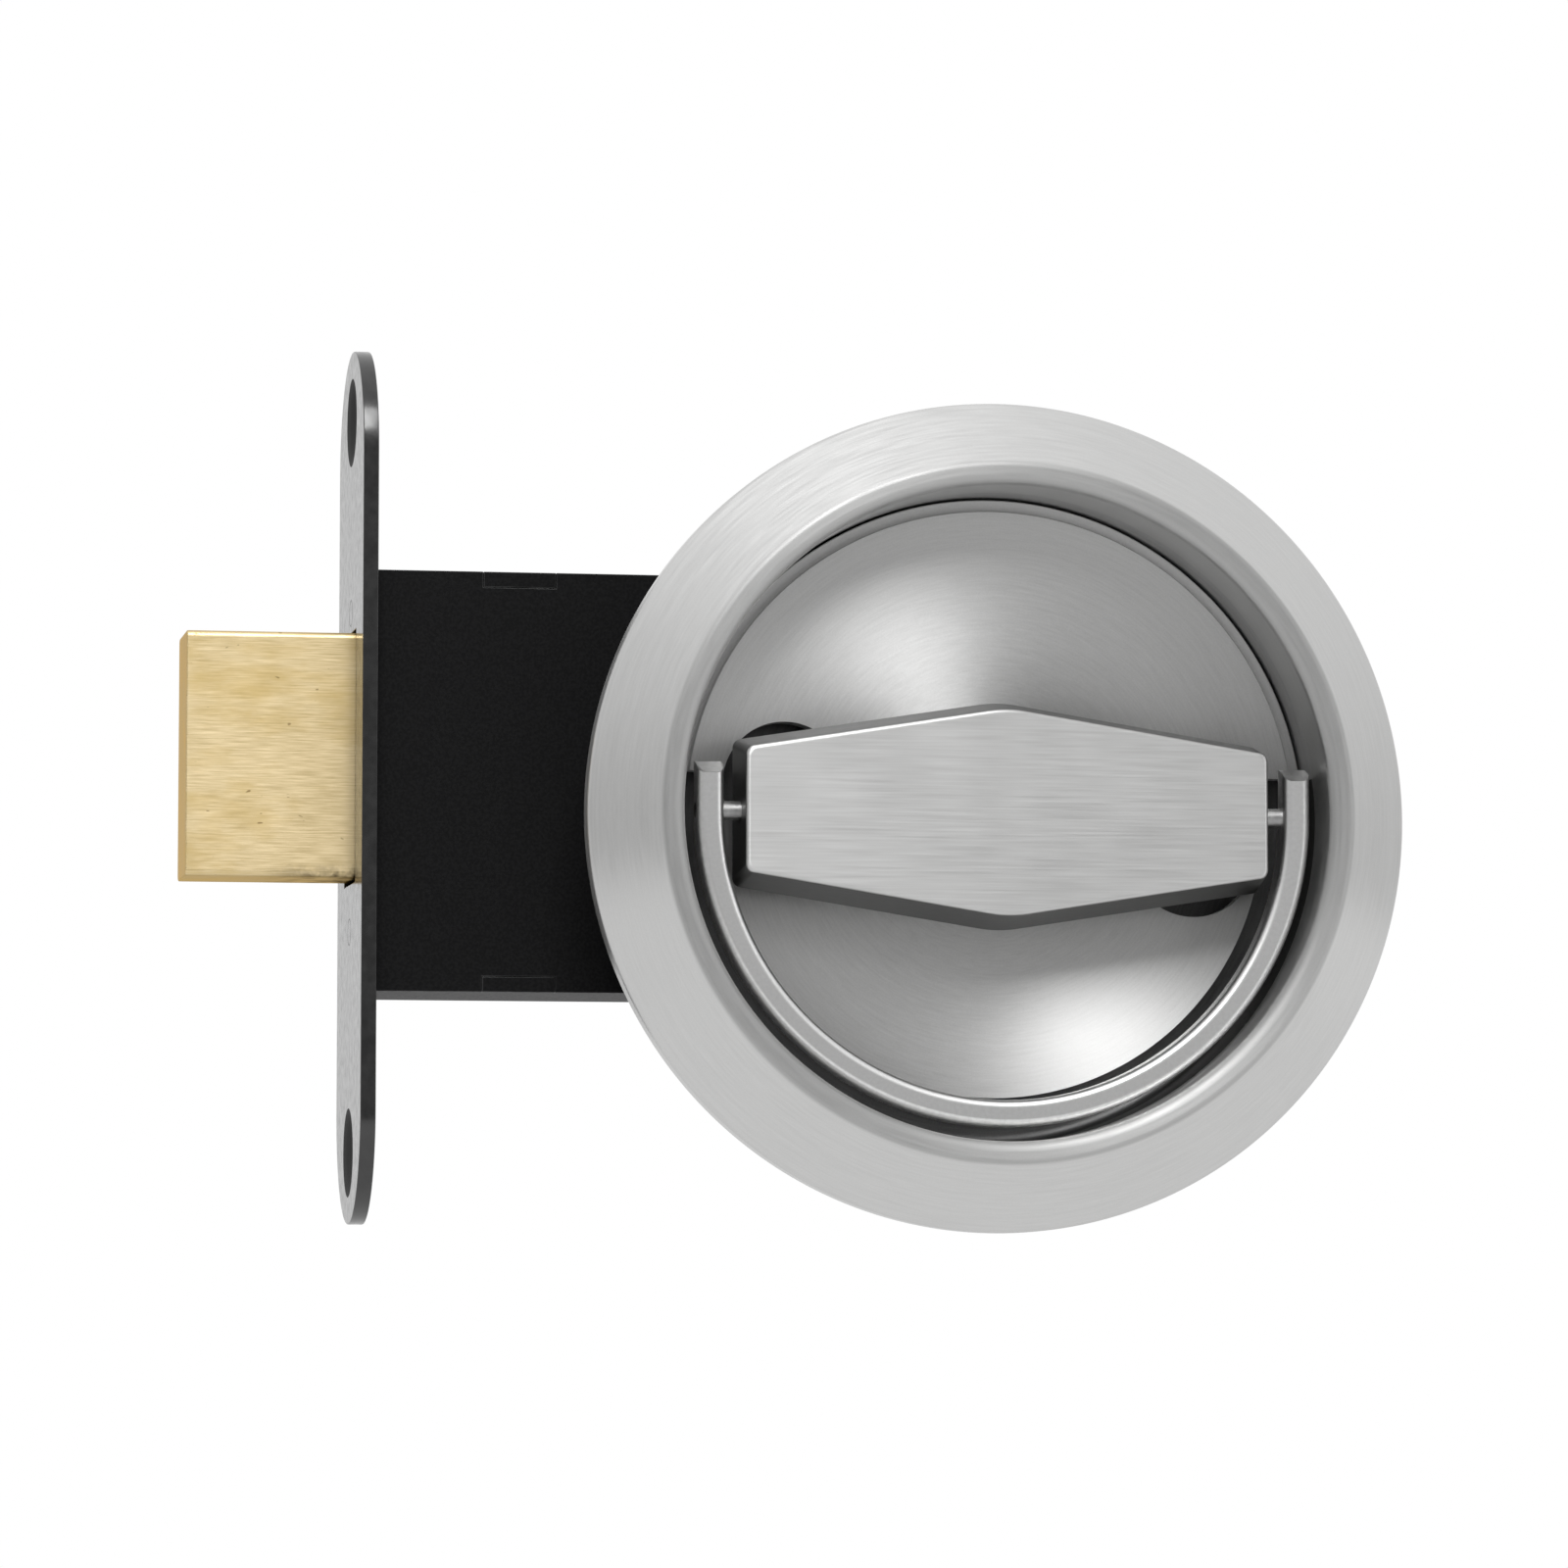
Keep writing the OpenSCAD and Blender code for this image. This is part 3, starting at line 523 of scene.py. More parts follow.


# Two copies of one steel: a near-black one paints the groove's shade, a lighter one paints light on the wall
# above it.
dark_steel = brushed_in_circles("dark_steel", (0.10, 0.10, 0.10), (0.16, 0.16, 0.16), 0.42, 0.4, 5)
steel_in_painted_light = brushed_in_circles("steel_in_painted_light", (0.50, 0.50, 0.50), (0.66, 0.66, 0.66), 0.42, 0.4, 5)
cup = solid("rose_cup_pressed", *lathe(rounded(
    [
        (bush_r, cup_back), (well_r + cup_wall, cup_back), (well_r + cup_wall, 0), (flange_r, 0),
        (flange_r, flange_h), (well_r, flange_h), (well_r, cup_floor), (bush_r, cup_floor),
    ],
    [0, cup_bend, cup_neck, flange_soft, 0, 0, floor_soft, 0],
)))
sinks = solid("sink_cutters", *lathe(
    [
        (0, sink_from), (sink_mouth, sink_from), (sink_mouth, 0),
        (sink_hole, sink_h), (sink_hole, sink_to), (0, sink_to),
    ],
    small_turns,
))
set_in_circle(sinks, spot_count, small_circle, first_spot, dark_steel)
carve(cup, sinks)
cup.data.set_sharp_from_angle(angle=math.radians(smooth_up_to))
dress(cup, dark_steel, steel_in_painted_light)
# The wall above the groove gets the copy painted light; the rest of the cup gets the painted shade.
for facet in cup.data.polygons:
    x, _, z = facet.center / mm
    on_wall = abs(math.hypot(x, z) - well_r) < wall_slack
    facet.material_index = int(on_wall and z > groove_top)
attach(cup, "lock")
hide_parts("rose_cup")


# Dish
# A hollow stainless disc brushed in circles, welded to posts on the cup's floor.
# A ledge fills the well round its upper half. Below, it is cut back for the bail; two holes clear the screws.
dish_low, dish_high = box_mm("dish")
dish_gap = 1.4
dish_r = well_r - dish_gap
dish_rim = -dish_low.y
dish_back = -dish_high.y
dish_hollow = 1.7
dish_curve = (dish_r ** 2 + dish_hollow ** 2) / (2 * dish_hollow)
dish_hole_r = 9.6
dish_low_r = -dish_low.z
dish_back_r = 21
ledge_r = dish_high.z
ledge_drop = 0.9
ledge_h = dish_rim - ledge_drop
ledge_t = 0.8
ledge_edge = 0.1
screw_circle = 20.35
screw_turn = math.radians(8.5)
access_r = 6.2
edge_soft = 0.22
face_steps = 24
face_w = dish_r - edge_soft - dish_hole_r
cut_front, cut_back = 5, -12
cut_deep = 20
cut_reach = rose_r + 5


def dish_h(r):
    """Height of the hollow face at a radius."""
    return dish_rim - dish_hollow + dish_curve - math.sqrt(dish_curve ** 2 - r ** 2)


def quarter(steps):
    """Angles of a quarter turn in even steps."""
    return [math.pi / 2 * k / steps for k in range(steps + 1)]


def loft(loops):
    """Points and faces of a closed shape through loops of equal length, capped at both ends."""
    n = len(loops[0])
    verts = [v for loop in loops for v in loop]
    faces = [
        (k * n + i, k * n + (i + 1) % n, (k + 1) * n + (i + 1) % n, (k + 1) * n + i)
        for k in range(len(loops) - 1)
        for i in range(n)
    ]
    return verts, faces + [tuple(range(n)), tuple(range(len(verts) - n, len(verts)))]


def stem(name, spot, front, back, r, steps=96):
    """Round bar that goes into the door at a spot on its face, between two heights."""
    turns = [2 * math.pi * i / steps for i in range(steps)]
    return solid(name, *loft([
        [(spot[0] + r * math.cos(a), -h, spot[1] + r * math.sin(a)) for a in turns] for h in (front, back)
    ]))


def block(name, low, high):
    """Plain box between two corners, used to cut with."""
    spots = [(x, y, z) for x in (low[0], high[0]) for y in (low[1], high[1]) for z in (low[2], high[2])]
    faces = [(0, 1, 3, 2), (4, 6, 7, 5), (0, 4, 5, 1), (2, 3, 7, 6), (0, 2, 6, 4), (1, 5, 7, 3)]
    return solid(name, spots, faces)


face = [(r, dish_h(r)) for r in (dish_hole_r + face_w * i / face_steps for i in range(face_steps + 1))]
dish_profile = face + [
    (dish_r - edge_soft * (1 - math.sin(a)), dish_rim - edge_soft * (1 - math.cos(a)))
    for a in quarter(3)[1:]
] + [
    (dish_r, ledge_h), (ledge_r - ledge_edge, ledge_h), (ledge_r, ledge_h - ledge_edge),
    (ledge_r, ledge_h - ledge_t), (dish_back_r, dish_back), (dish_hole_r, dish_back),
]
dish = solid("dish_spun", *lathe(dish_profile))
below = solid("below_cutter", *lathe(
    [(dish_low_r, cut_front), (rose_r, cut_front), (rose_r, cut_back), (dish_low_r, cut_back)],
))
carve(below, block("above_cutter", (-cut_reach, -cut_deep, groove_top), (cut_reach, cut_deep, cut_reach)))
screw_spots = [
    (-screw_circle * math.cos(a), screw_circle * math.sin(a)) for a in (screw_turn, screw_turn + math.pi)
]
holes = [
    stem(f"access_cutter_{i}", spot, cut_front, cut_back, access_r)
    for i, spot in enumerate(screw_spots)
]
carve(dish, below, *holes)
dish.data.set_sharp_from_angle(angle=math.radians(smooth_up_to))
spun_steel = brushed_in_circles("spun_steel", (0.58, 0.58, 0.575), (0.70, 0.70, 0.695), 0.48, 0.85, 7)
dress(dish, spun_steel)
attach(dish, "lock")
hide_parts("dish")


# Ring screws
# Four countersunk steel screws that come through the cup's flange from behind into bosses in the ring.
# Each head lies flush with the flange and has a cross recess.
def threaded(r, tip, top, pitch, depth, around=40, rows_a_turn=8):
    """Points and faces of a round bar along Y between two heights, cut with a helical thread."""
    rows = max(2, round(abs(top - tip) / pitch * rows_a_turn))
    loops = []
    for h in (tip + (top - tip) * k / rows for k in range(rows + 1)):
        loop = []
        for i in range(around):
            place = (h / pitch - i / around) % 1
            cut = depth * min(1, abs(place - 0.5) * 3)
            a = 2 * math.pi * i / around
            loop.append(((r - cut) * math.cos(a), -h, (r - cut) * math.sin(a)))
        loops.append(loop)
    return loft(loops)


def join(piece, *others):
    """Make several meshes one piece, and drop the others."""
    work = bmesh.new()
    work.from_mesh(piece.data)
    for other in others:
        work.from_mesh(other.data)
        bpy.data.meshes.remove(other.data)
    work.to_mesh(piece.data)
    work.free()


def clouded(tree, shader, cloud, band, dark, light, rough):
    """Let a shader's colour and roughness follow a cloud of noise.

    The colour goes from dark to light over the band; rough is a range of the cloud and its two roughnesses.
    """
    feed(tree, shader.inputs["Base Color"], tint(tree, spread(tree, cloud, *band, 0, 1), dark, light))
    feed(tree, shader.inputs["Roughness"], spread(tree, cloud, *rough))


def plated(name, dark, light, roughness, grain):
    """Plated or blued steel with a clouded sheen and a fine grain."""
    made, tree, shader = metal(name, light, roughness)
    spot = on_piece(tree)
    cloud = noise(tree, spot, grain / mm, 4)
    rough = (0.3, 0.7, roughness - 0.08, roughness + 0.1)
    clouded(tree, shader, cloud, (0.35, 0.65), dark, light, rough)
    relief(tree, shader, noise(tree, spot, 10 * grain / mm, 2), 0.004 * mm, 0.5)
    return made


zinc_steel = plated("zinc_steel", (0.46, 0.47, 0.48), (0.62, 0.63, 0.64), 0.36, 0.6)
small_tip = -box_mm("ring_screws")[0].y
small_pitch, small_groove = 0.45, 0.24
cross_reach = 1.5
cross_half = 0.28
cross_depth = 0.9
cross_past = 0.1
small_head_r = small_r + sink_h
small_edge = 0.08
small_neck = 1.6
small_head = [
    (0, 0), (small_head_r - small_edge, 0), (small_head_r, small_edge),
    (small_r, sink_h), (small_r, small_neck), (0, small_neck),
]
ring_screws = solid("ring_screws_cross", *lathe(small_head, small_turns))
carve(
    ring_screws,
    block("cross_cutter_1", (-cross_reach, -cross_depth, -cross_half), (cross_reach, cross_past, cross_half)),
    block("cross_cutter_2", (-cross_half, -cross_depth, -cross_reach), (cross_half, cross_past, cross_reach)),
)
small_thread = threaded(small_r, small_tip, sink_h, small_pitch, small_groove)
join(ring_screws, solid("ring_screw_thread", *small_thread))
set_in_circle(ring_screws, spot_count, small_circle, first_spot, zinc_steel)
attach(ring_screws, "lock")
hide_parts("ring_screws")


# Dish posts
# Four turned steel posts between the cup's floor and the dish, riveted over behind the cup.
post_r = 2.5
post_tail_r = 1.5
post_edge = 0.2
post_head_w = 0.9
post_head_r = post_tail_r + post_head_w
post_head_h = 0.7
post_circle = 16
posts = solid("dish_posts_riveted", *lathe(
    [
        (0, dish_back), (post_r - post_edge, dish_back), (post_r, dish_back - post_edge), (post_r, cup_floor),
        (post_tail_r, cup_floor), (post_tail_r, cup_back),
    ] + [(post_head_r * math.cos(a), cup_back - post_head_h * math.sin(a)) for a in quarter(5)],
    small_turns,
))
set_in_circle(posts, spot_count, post_circle, first_spot, zinc_steel)
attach(posts, "lock")
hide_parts("dish_posts")


# Fixing screws
# Two black oxide socket-head screws that pull the cup to the lock case, seen in the dish's holes.
# The head has a hexagon socket and a broken edge, and the shank is threaded all its length.
fix_low, fix_high = box_mm("fixing_screws")
fix_r = 2.5
fix_head_r = 4.2
fix_top = -fix_low.y
fix_tip = -fix_high.y
fix_pitch, fix_groove = 0.8, 0.42
fix_edge = 0.3
key_w = 4
key_depth = 1.4
key_past = 1
fixing_screws = solid("fixing_screws_black", *lathe(
    [(0, cup_floor), (fix_head_r, cup_floor)] + [
        (fix_head_r - fix_edge * (1 - math.cos(a)), fix_top - fix_edge * (1 - math.sin(a)))
        for a in quarter(3)
    ] + [(0, fix_top)],
    72,
))
carve(fixing_screws, stem(
    "key_cutter", (0, 0), fix_top + key_past, fix_top - key_depth, key_w / math.sqrt(3), steps=6,
))
fix_thread = threaded(fix_r, fix_tip, cup_floor, fix_pitch, fix_groove)
join(fixing_screws, solid("fixing_screw_thread", *fix_thread))
black_screw = plated("black_screw", (0.035, 0.035, 0.038), (0.06, 0.06, 0.064), 0.4, 1.5)
set_in_circle(fixing_screws, 2, screw_circle, math.pi - screw_turn, black_screw)
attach(fixing_screws, "lock")
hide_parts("fixing_screws")


# Turn bar
# A bow-tie bar cast in stainless steel with drafted sides, brushed along its length.
# A round hub behind it turns in the cup and drives the spindle.
bar_low, bar_high = box_mm("turn_bar")
bar_t = 5.6
bar_draft = 1.0
bar_end_draft = 0.4
bar_front = -bar_low.y
bar_back = bar_front - bar_t
bar_half = bar_high.x - bar_end_draft
bar_end_half = 6
bar_mid_half = bar_high.z - bar_draft
bar_corner, bar_bend = 0.9, 12
bar_edge = 0.4
bar_guard = 0.03
hub_r = 9
hub_in = 1
hub_back = -bar_high.y


def bar_outline(side, end):
    """Bow-tie outline grown by a side and an end allowance."""
    reach, tip, mid = bar_half + end, bar_end_half + side, bar_mid_half + side
    return rounded(
        [(reach, -tip), (reach, tip), (0, mid), (-reach, tip), (-reach, -tip), (0, -mid)],
        [bar_corner, bar_corner, bar_bend] * 2,
        steps=8,
    )


levels = [(bar_front - bar_edge * (1 - math.cos(a)), -bar_edge * (1 - math.sin(a))) for a in quarter(5)]
levels.insert(0, (bar_front, -bar_edge - bar_guard))
levels.append((levels[-1][0] - bar_guard, 0.0))
loops = [[(x, -h, z) for x, z in bar_outline(grow, grow)] for h, grow in levels]
loops.append([(x, -bar_back, z) for x, z in bar_outline(bar_draft, bar_end_draft)])
bar = solid("turn_bar_brushed", *loft(loops), sharp=40)
join(bar, stem("hub", (0, 0), bar_back + hub_in, hub_back, hub_r))
end_lean = 0.002
long_streak_share = 0.75
cloud_scale = 0.12


def brushed_along(name, dark, light, roughness, anisotropy, along, grain, side_painted_shade=1.0, stretch=0.02):
    """Metal brushed along one axis of the piece, whose highlights stretch across the lines.

    A slight lean gives the lines a direction on the ends too, where the axis is the normal.
    A side shade below one paints shade on the sides, deeper than the face.
    """
    made, tree, shader = metal(name, light, roughness, anisotropy)
    spot = on_piece(tree)
    normal = add_node(tree, "ShaderNodeNewGeometry").outputs["Normal"]
    across = vectors(tree, "CROSS_PRODUCT", in_world(tree, along), normal)
    across = vectors(tree, "ADD", across, in_world(tree, (0, 0, end_lean)))
    feed(tree, shader.inputs["Tangent"], vectors(tree, "NORMALIZE", across))
    squeeze = [grain / mm * (stretch if axis else 1) for axis in along]
    streaks = noise(tree, vectors(tree, "MULTIPLY", spot, squeeze), 1, 4)
    cloud = noise(tree, vectors(tree, "MULTIPLY", spot, [cloud_scale / mm] * 3), 1, 2)
    mixed = blended(tree, cloud, streaks, long_streak_share)
    colour = tint(tree, spread(tree, mixed, 0.3, 0.7, 0, 1), dark, light)
    # Painted shade: faces turned away from the front are made deeper in colour.
    if side_painted_shade < 1:
        facing = maths(tree, "ABSOLUTE", vectors(tree, "DOT_PRODUCT", in_world(tree, (0, 1, 0)), normal))
        colour = toned(tree, colour, spread(tree, facing, 0.3, 0.8, side_painted_shade, 1))
    feed(tree, shader.inputs["Base Color"], colour)
    rough = spread(tree, mixed, 0.3, 0.7, roughness - rough_swing, roughness + rough_swing)
    feed(tree, shader.inputs["Roughness"], rough)
    relief(tree, shader, streaks, brush_depth, brush_strength)
    return made


# The bar's sides and underside carry deep painted shade.
satin_bar = brushed_along(
    "satin_bar", (0.53, 0.53, 0.525), (0.63, 0.63, 0.625), 0.42, 0.7, (1, 0, 0), 5, side_painted_shade=0.27,
)
dress(bar, satin_bar)
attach(bar, "handle")
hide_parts("turn_bar")


# Bail
# A half-round grip of stainless steel wire-form with rounded edges and short bevelled tails.
# It swings out on two pins in the bar's ends.
bail_low, bail_high = box_mm("bail")
bail_w = 2.6
bail_t = bail_high.y - bail_low.y
bail_mid_y = (bail_high.y + bail_low.y) / 2
bail_r = bail_high.x - bail_w / 2
tail_top = bail_high.z
bail_drop = -bail_low.z - bail_high.x
tail_bevel = 1.3
bail_soft = 0.75
bail_turns = 128


def rectangle(width, height, soft, steps):
    """Outline of a rectangle about its middle, with rounded corners."""
    x, y = width / 2, height / 2
    return rounded([(-x, -y), (x, -y), (x, y), (-x, y)], [soft] * 4, steps)


section = rectangle(bail_w, bail_t, bail_soft, 7)
arc = [math.pi * i / bail_turns for i in range(bail_turns + 1)]
loops = [
    [
        (-(bail_r + s) * math.cos(a), bail_mid_y + t, -bail_drop - (bail_r + s) * math.sin(a))
        for s, t in section
    ]
    for a in arc
]


def tail(side):
    """Loop at the end of a tail, cut down on its front by the bevel."""
    return [
        (side * (bail_r + s), bail_mid_y + t, tail_top - max(0, tail_bevel - (t + bail_t / 2)))
        for s, t in section
    ]


bail = solid("bail_grip", *loft([tail(-1)] + loops + [tail(1)]), sharp=30)
bail_steel, tree, shader = metal("bail_steel", (0.76, 0.76, 0.755), 0.33, 0.3)
spot = on_piece(tree)
scuff = noise(tree, spot, 2.2 / mm, 4)
clouded(
    tree, shader, scuff, (0.35, 0.65), (0.71, 0.71, 0.705), (0.79, 0.79, 0.785), (0.25, 0.75, 0.38, 0.31),
)
relief(tree, shader, noise(tree, spot, 6 / mm, 2), 0.003 * mm, 0.3)
dress(bail, bail_steel)
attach(bail, "bail")
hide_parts("bail")


# Pivot pins
# Two turned steel pins riveted into the bail's legs; their thick ends turn in the bar's bores.
# Only the thin necks show, between the bar and the bail.
pin_low, pin_high = box_mm("pivot_pins")
pin_y = (pin_low.y + pin_high.y) / 2
pin_r = (pin_high.y - pin_low.y) / 2
pin_grip = 6
pin_from = bar_half - pin_grip
pin_edge = 0.2
neck_r = 0.9
neck_in = 0.4
neck_from = bar_half + bar_end_draft - neck_in
pin_profile = [
    (0, pin_from), (pin_r - pin_edge, pin_from), (pin_r, pin_from + pin_edge),
    (pin_r, neck_from - pin_edge), (pin_r - pin_edge, neck_from), (neck_r, neck_from),
    (neck_r, pin_high.x - pin_edge), (neck_r - pin_edge, pin_high.x), (0, pin_high.x),
]
pin_verts, pin_faces = lathe(pin_profile, small_turns)
pins, other_pin = (
    solid(name, [(-side * y, pin_y + side * x, z) for x, y, z in pin_verts], pin_faces)
    for name, side in (("pivot_pins_turned", 1), ("other_pin", -1))
)
join(pins, other_pin)
dress(pins, plated("pin_steel", (0.30, 0.30, 0.30), (0.42, 0.42, 0.415), 0.44, 1.4))
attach(pins, "bail")
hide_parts("pivot_pins")


# Hidden steel pieces
# Washer, spindle, pin, follower, bolt tail, pillars and posts, turned or stamped and zinc plated.
# The detent spring and the circlip are blued spring steel.
spring_steel = plated("spring_steel", (0.26, 0.27, 0.31), (0.38, 0.39, 0.43), 0.32, 1.1)
plain_pieces = [
    (zinc_steel, "case_pillars guide_post spring_post cross_pin bolt_tail"),
    (spring_steel, "detent_spring hub_circlip"),
]
for finish, names in plain_pieces:
    for name in names.split():
        dress(nodes[name], finish)
edge_angle = math.radians(40)


def flatten(piece):
    """Shade a piece so that its large flats stay flat between small edges."""
    even = piece.modifiers.new("normals", "WEIGHTED_NORMAL")
    even.keep_sharp = False
    freeze(piece)


def soften(piece, width, steps, edge_slot):
    """Break a piece's sharp edges, with the flats kept flat; an edge slot gives them their own finish."""
    bevel = piece.modifiers.new("edges", "BEVEL")
    bevel.width = width * mm
    bevel.segments = steps
    bevel.limit_method = "ANGLE"
    bevel.angle_limit = edge_angle
    bevel.harden_normals = False
    bevel.material = edge_slot
    flatten(piece)


def finished(node, name, width, finish, body, wear_and_highlight=None, steps=2):
    """Piece with a CAD node's shape, its edges broken, its finish put on and, where given, a painted
    highlight on its broken edges.
    """
    mesh = nodes[node].data.copy()
    mesh.name = name
    work = bmesh.new()
    work.from_mesh(mesh)
    bmesh.ops.remove_doubles(work, verts=work.verts, dist=1e-7)
    bmesh.ops.dissolve_limit(work, angle_limit=math.radians(0.3), verts=work.verts, edges=work.edges)
    work.to_mesh(mesh)
    work.free()
    if "custom_normal" in mesh.attributes:
        mesh.attributes.remove(mesh.attributes["custom_normal"])
    mesh.shade_smooth()
    made = bpy.data.objects.new(name, mesh)
    scene.collection.objects.link(made)
    finishes = [finish, wear_and_highlight] if wear_and_highlight else [finish]
    dress(made, *finishes)
    soften(made, width, steps, edge_slot=1 if wear_and_highlight else -1)
    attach(made, body)
    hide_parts(node)
    return made


washer_low, washer_high = box_mm("hub_washer")
washer_gap = 0.03
washer_slack = 0.05
washer_soft = 0.2
washer_front = -washer_low.y - washer_gap
washer_back = -washer_high.y
washer_r = washer_high.x
washer_hole = hub_r + washer_slack
washer = solid("hub_washer_turned", *lathe(rounded(
    [
        (washer_hole, washer_back), (washer_r, washer_back),
        (washer_r, washer_front), (washer_hole, washer_front),
    ],
    [0, washer_soft, washer_soft, 0],
    steps=3,
), 144))
dress(washer, zinc_steel)
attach(washer, "handle")
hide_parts("hub_washer")

spindle_low, spindle_high = box_mm("spindle")
spindle_half = spindle_high.x
spindle_soft = 0.4
spindle_chamfer = 0.6


def square_loop(half, y):
    """Square with rounded corners across the spindle axis."""
    return [(x, y, z) for x, z in rectangle(2 * half, 2 * half, spindle_soft, 4)]


spindle = solid("spindle_square", *loft([
    square_loop(spindle_half - spindle_chamfer, spindle_low.y),
    square_loop(spindle_half, spindle_low.y + spindle_chamfer),
    square_loop(spindle_half, spindle_high.y - spindle_chamfer),
    square_loop(spindle_half - spindle_chamfer, spindle_high.y),
]), sharp=30)
dress(spindle, zinc_steel)
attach(spindle, "handle")
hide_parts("spindle")

follower = finished("follower", "follower_cam", 0.3, zinc_steel, "handle")
follower_back = box_mm("follower")[1].y
socket_in, socket_past = 0.5, 0.3
carve(follower, solid("socket_cutter", *loft([
    square_loop(spindle_half, follower_back - socket_in),
    square_loop(spindle_half + socket_in + socket_past, follower_back + socket_past),
])))
flatten(follower)


# Lock case
# A pressed steel tray and its flat cover, powder coated black with a fine texture.
# The tray's tabs show in the cover's edges, and the ends of four posts in its back; the broken edges carry a
# painted highlight.
def coat(name, colour, roughness, specular):
    """Paint with its Principled shader; returns the material, its tree and the shader."""
    made, tree, shader = metal(name, colour, roughness)
    shader.inputs["Metallic"].default_value = 0
    shader.inputs["Specular IOR Level"].default_value = specular
    return made, tree, shader


black_paint, tree, shader = coat("black_paint", (0.006, 0.006, 0.0065), 0.5, 0.12)
pebble = noise(tree, on_piece(tree), 3.5 / mm, 3)
clouded(
    tree, shader, pebble, (0.4, 0.62), (0.003, 0.003, 0.0033), (0.008, 0.008, 0.0084), (0.3, 0.7, 0.58, 0.46),
)
relief(tree, shader, pebble, 0.03 * mm, 0.5)
# Painted highlight: a lighter, shinier paint on the case's broken edges stands for the light they catch.
edge_highlight_paint, tree, shader = coat("edge_highlight_paint", (0.02, 0.02, 0.021), 0.42, 0.4)
highlight_cloud = noise(tree, on_piece(tree), 0.35 / mm, 4)
clouded(
    tree, shader, highlight_cloud, (0.4, 0.65), (0.010, 0.010, 0.0105), (0.045, 0.045, 0.046), (0.3, 0.7, 0.5, 0.36),
)
tray = finished("case_body", "case_tray", 0.3, black_paint, "lock", wear_and_highlight=edge_highlight_paint)
finished("case_cover", "case_lid", 0.4, black_paint, "lock", wear_and_highlight=edge_highlight_paint)
tray_back = box_mm("case_body")[1].y
post_spots = screw_spots + [
    ((low.x + high.x) / 2, (low.z + high.z) / 2) for low, high in map(box_mm, ("guide_post", "spring_post"))
]
mark_r = 1.9
mark_line = 0.3
mark_depth = 0.15
mark_past = 0.5
mark_verts, mark_faces = lathe(
    [
        (mark_r, mark_depth - tray_back), (mark_r + mark_line, mark_depth - tray_back),
        (mark_r + mark_line, -tray_back - mark_past), (mark_r, -tray_back - mark_past),
    ],
    small_turns,
)
carve(tray, *[
    solid(f"post_end_cutter_{i}", [(x + left, y, z + up) for x, y, z in mark_verts], mark_faces)
    for i, (left, up) in enumerate(post_spots)
])
flatten(tray)


# Face plate
# A round-ended steel plate in smooth black enamel, riveted to the case, with two countersunk holes.
# Its front mirrors the bolt at a low angle.
black_gloss, tree, shader = coat("black_gloss", (0.012, 0.012, 0.012), 0.22, 0.8)
spot = on_piece(tree)
orange_peel = noise(tree, spot, 0.9 / mm, 3)
plate_low, plate_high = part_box("face_plate")
plate_mid = (plate_low + plate_high) / 2
hole_pitch = 72 * mm
hole_r = 4.4 * mm
hole_fade = 0.1 * mm
hole_dull = 0.85
hole_painted_shade = 0.2
parts = split(tree, vectors(tree, "SUBTRACT", spot, plate_mid))
along = maths(tree, "SUBTRACT", maths(tree, "ABSOLUTE", parts["Z"]), hole_pitch / 2)
squares = [maths(tree, "POWER", side, 2.0) for side in (along, parts["Y"])]
in_hole = spread(tree, maths(tree, "SQRT", maths(tree, "ADD", *squares)), hole_r - hole_fade, hole_r, 1, 0)
sheen = spread(tree, orange_peel, 0.3, 0.7, 0.14, 0.24)
feed(tree, shader.inputs["Roughness"], maths(
    tree, "MAXIMUM", sheen, maths(tree, "MULTIPLY", in_hole, hole_dull),
))
enamel = tint(tree, spread(tree, orange_peel, 0.35, 0.65, 0, 1), (0.009, 0.009, 0.009), (0.018, 0.018, 0.018))
# Painted shade: the countersunk holes are made deeper in colour.
feed(tree, shader.inputs["Base Color"], toned(tree, enamel, spread(tree, in_hole, 0, 1, 1, hole_painted_shade)))
relief(tree, shader, orange_peel, 0.004 * mm, 0.4)
finished("face_plate", "face_plate_enamel", 0.3, black_gloss, "lock")
finished("plate_rivets", "plate_rivets_enamel", 0.15, black_gloss, "lock")


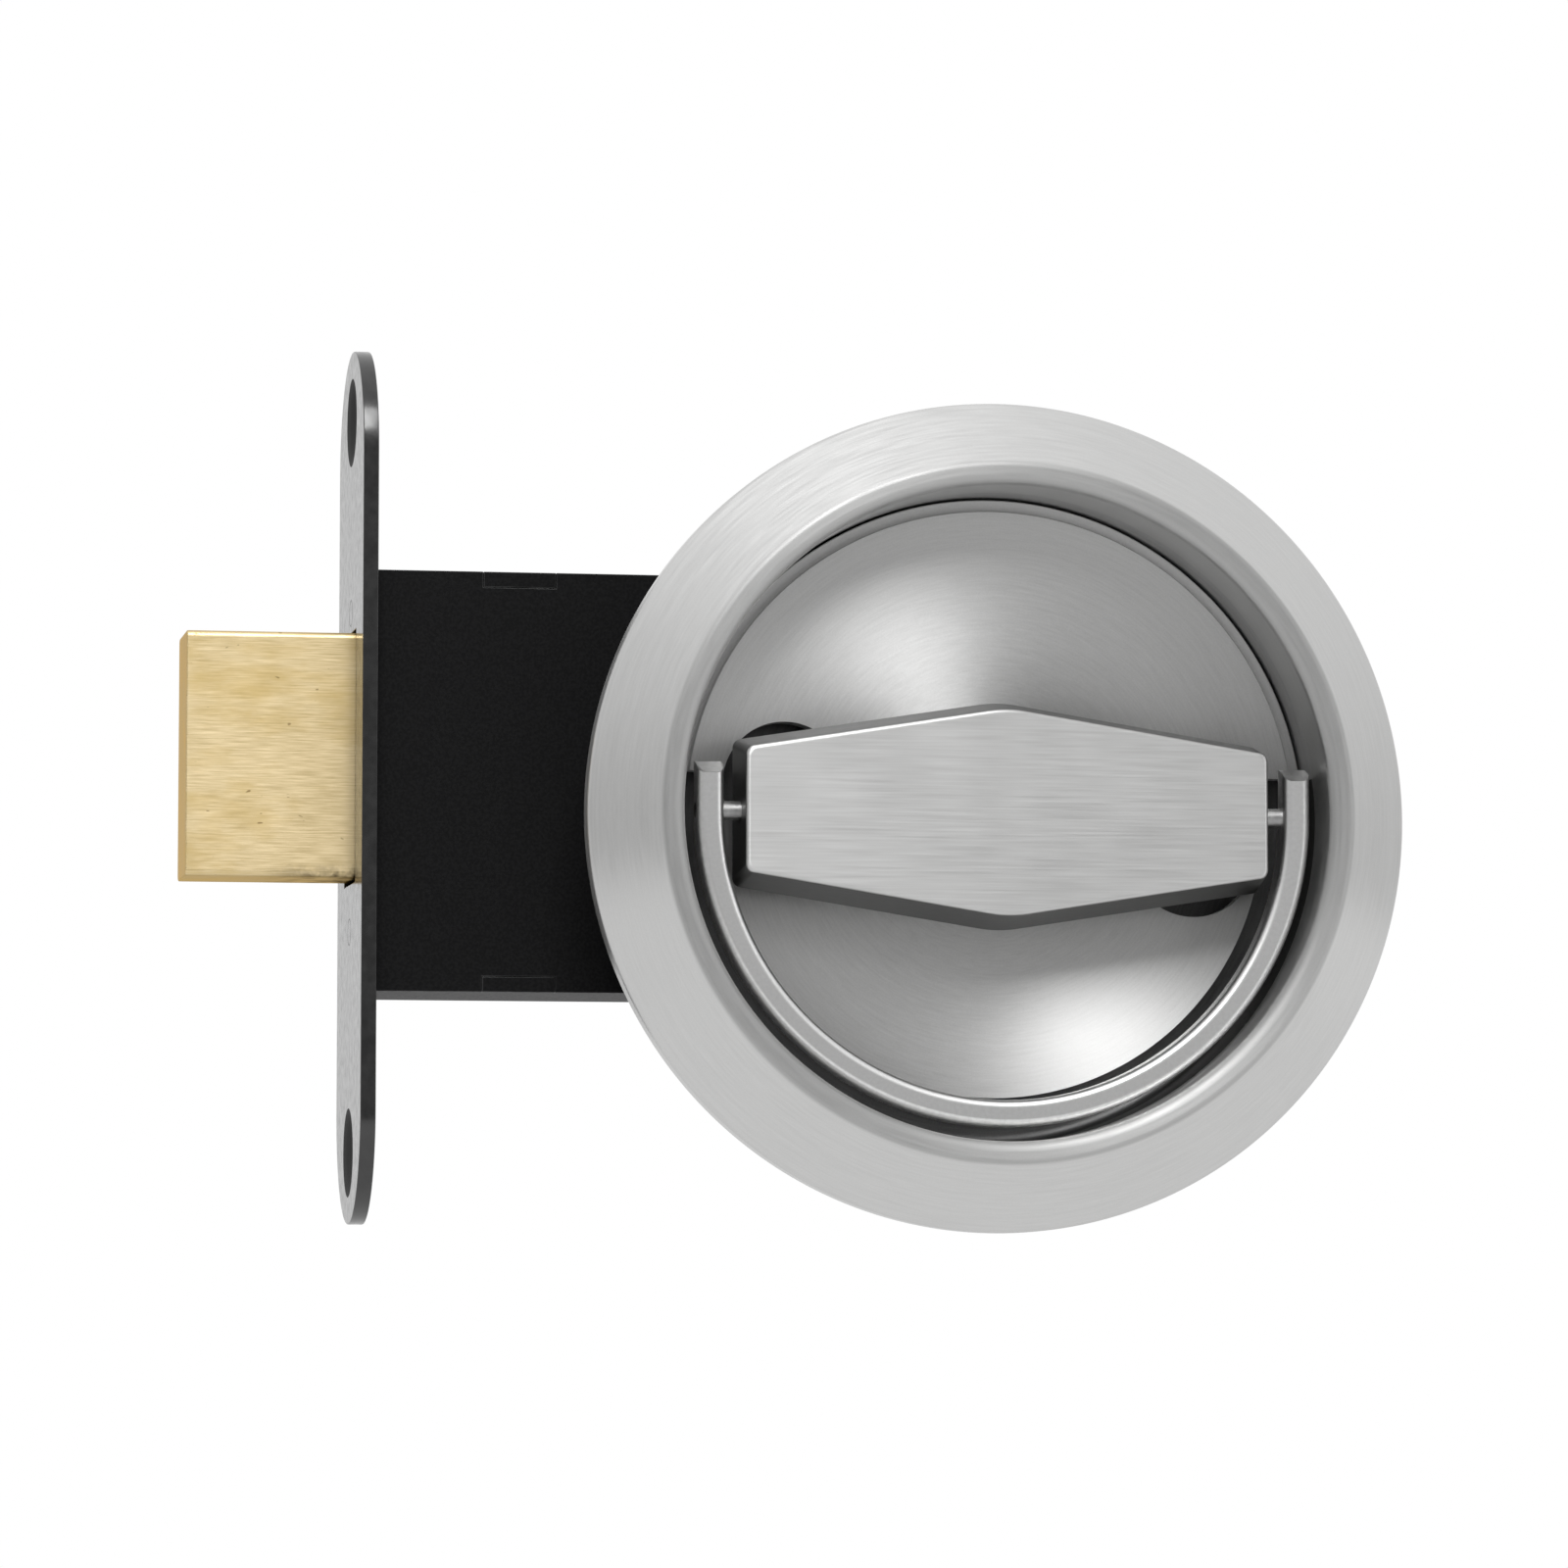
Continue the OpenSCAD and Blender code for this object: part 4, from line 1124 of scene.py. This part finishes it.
# Hub bush
# A flanged nylon bush in the cup's floor, in which the bar's hub turns.
nylon, tree, shader = coat("nylon", (0.82, 0.80, 0.74), 0.45, 0.5)
spot = on_piece(tree)
flow = noise(tree, spot, 0.5 / mm, 3)
clouded(tree, shader, flow, (0.35, 0.65), (0.74, 0.71, 0.64), (0.83, 0.81, 0.75), (0.3, 0.7, 0.38, 0.55))
relief(tree, shader, noise(tree, spot, 5 / mm, 2), 0.01 * mm, 0.4)
dress(nodes["hub_bush"], nylon)


# Bolt
# A square-ended brass bolt, milled along its length and lightly stained; rivets hold its steel tail.
# The bolt's top, bottom and end carry a light painted shade, which also damps the top edge's highlight.
brass = brushed_along(
    "brass", (0.62, 0.48, 0.24), (0.92, 0.76, 0.48), 0.40, 0.5, (1, 0, 0), 7, side_painted_shade=0.7, stretch=0.045,
)
tree = brass.node_tree
shader = tree.nodes["Principled BSDF"]
shader.inputs["Specular Tint"].default_value = (0.86, 0.66, 0.36, 1)
spot = on_piece(tree)
parts = split(tree, spot)
bare = shader.inputs["Base Color"].links[0].from_socket
long_spot = vectors(tree, "MULTIPLY", spot, (0.4, 1, 1))
patches = spread(tree, noise(tree, long_spot, 0.3 / mm, 4), 0.48, 0.70, 0, 0.65)
pits = spread(tree, noise(tree, long_spot, 1.9 / mm, 1), 0.75, 0.79, 0, 0.7)
bolt_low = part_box("bolt_head")[0]
# Darker in blotches along the bolt's lower edge, towards the plate.
dark_far, dark_near = 9 * mm, 0.5 * mm
dark_low, dark_high = 0.3 * mm, 1.4 * mm
near_plate = spread(tree, parts["X"], plate_low.x - dark_far, plate_low.x - dark_near, 0, 1)
near_edge = spread(tree, parts["Z"], bolt_low.z + dark_low, bolt_low.z + dark_high, 1, 0)
lower_edge_dark = maths(tree, "MULTIPLY", near_plate, near_edge)
lower_edge_dark = maths(tree, "MULTIPLY", lower_edge_dark, spread(tree, noise(tree, spot, 0.5 / mm, 3), 0.42, 0.58, 0, 0.95))
wear_and_highlight = tint(tree, patches, bare, (0.62, 0.45, 0.17))
wear_and_highlight = tint(tree, pits, wear_and_highlight, (0.22, 0.14, 0.05))
feed(tree, shader.inputs["Base Color"], tint(tree, lower_edge_dark, wear_and_highlight, (0.05, 0.03, 0.015)))
finished("bolt_head", "bolt_brass", 0.3, brass, "bolt", steps=3)
dress(nodes["tail_rivets"], brass)
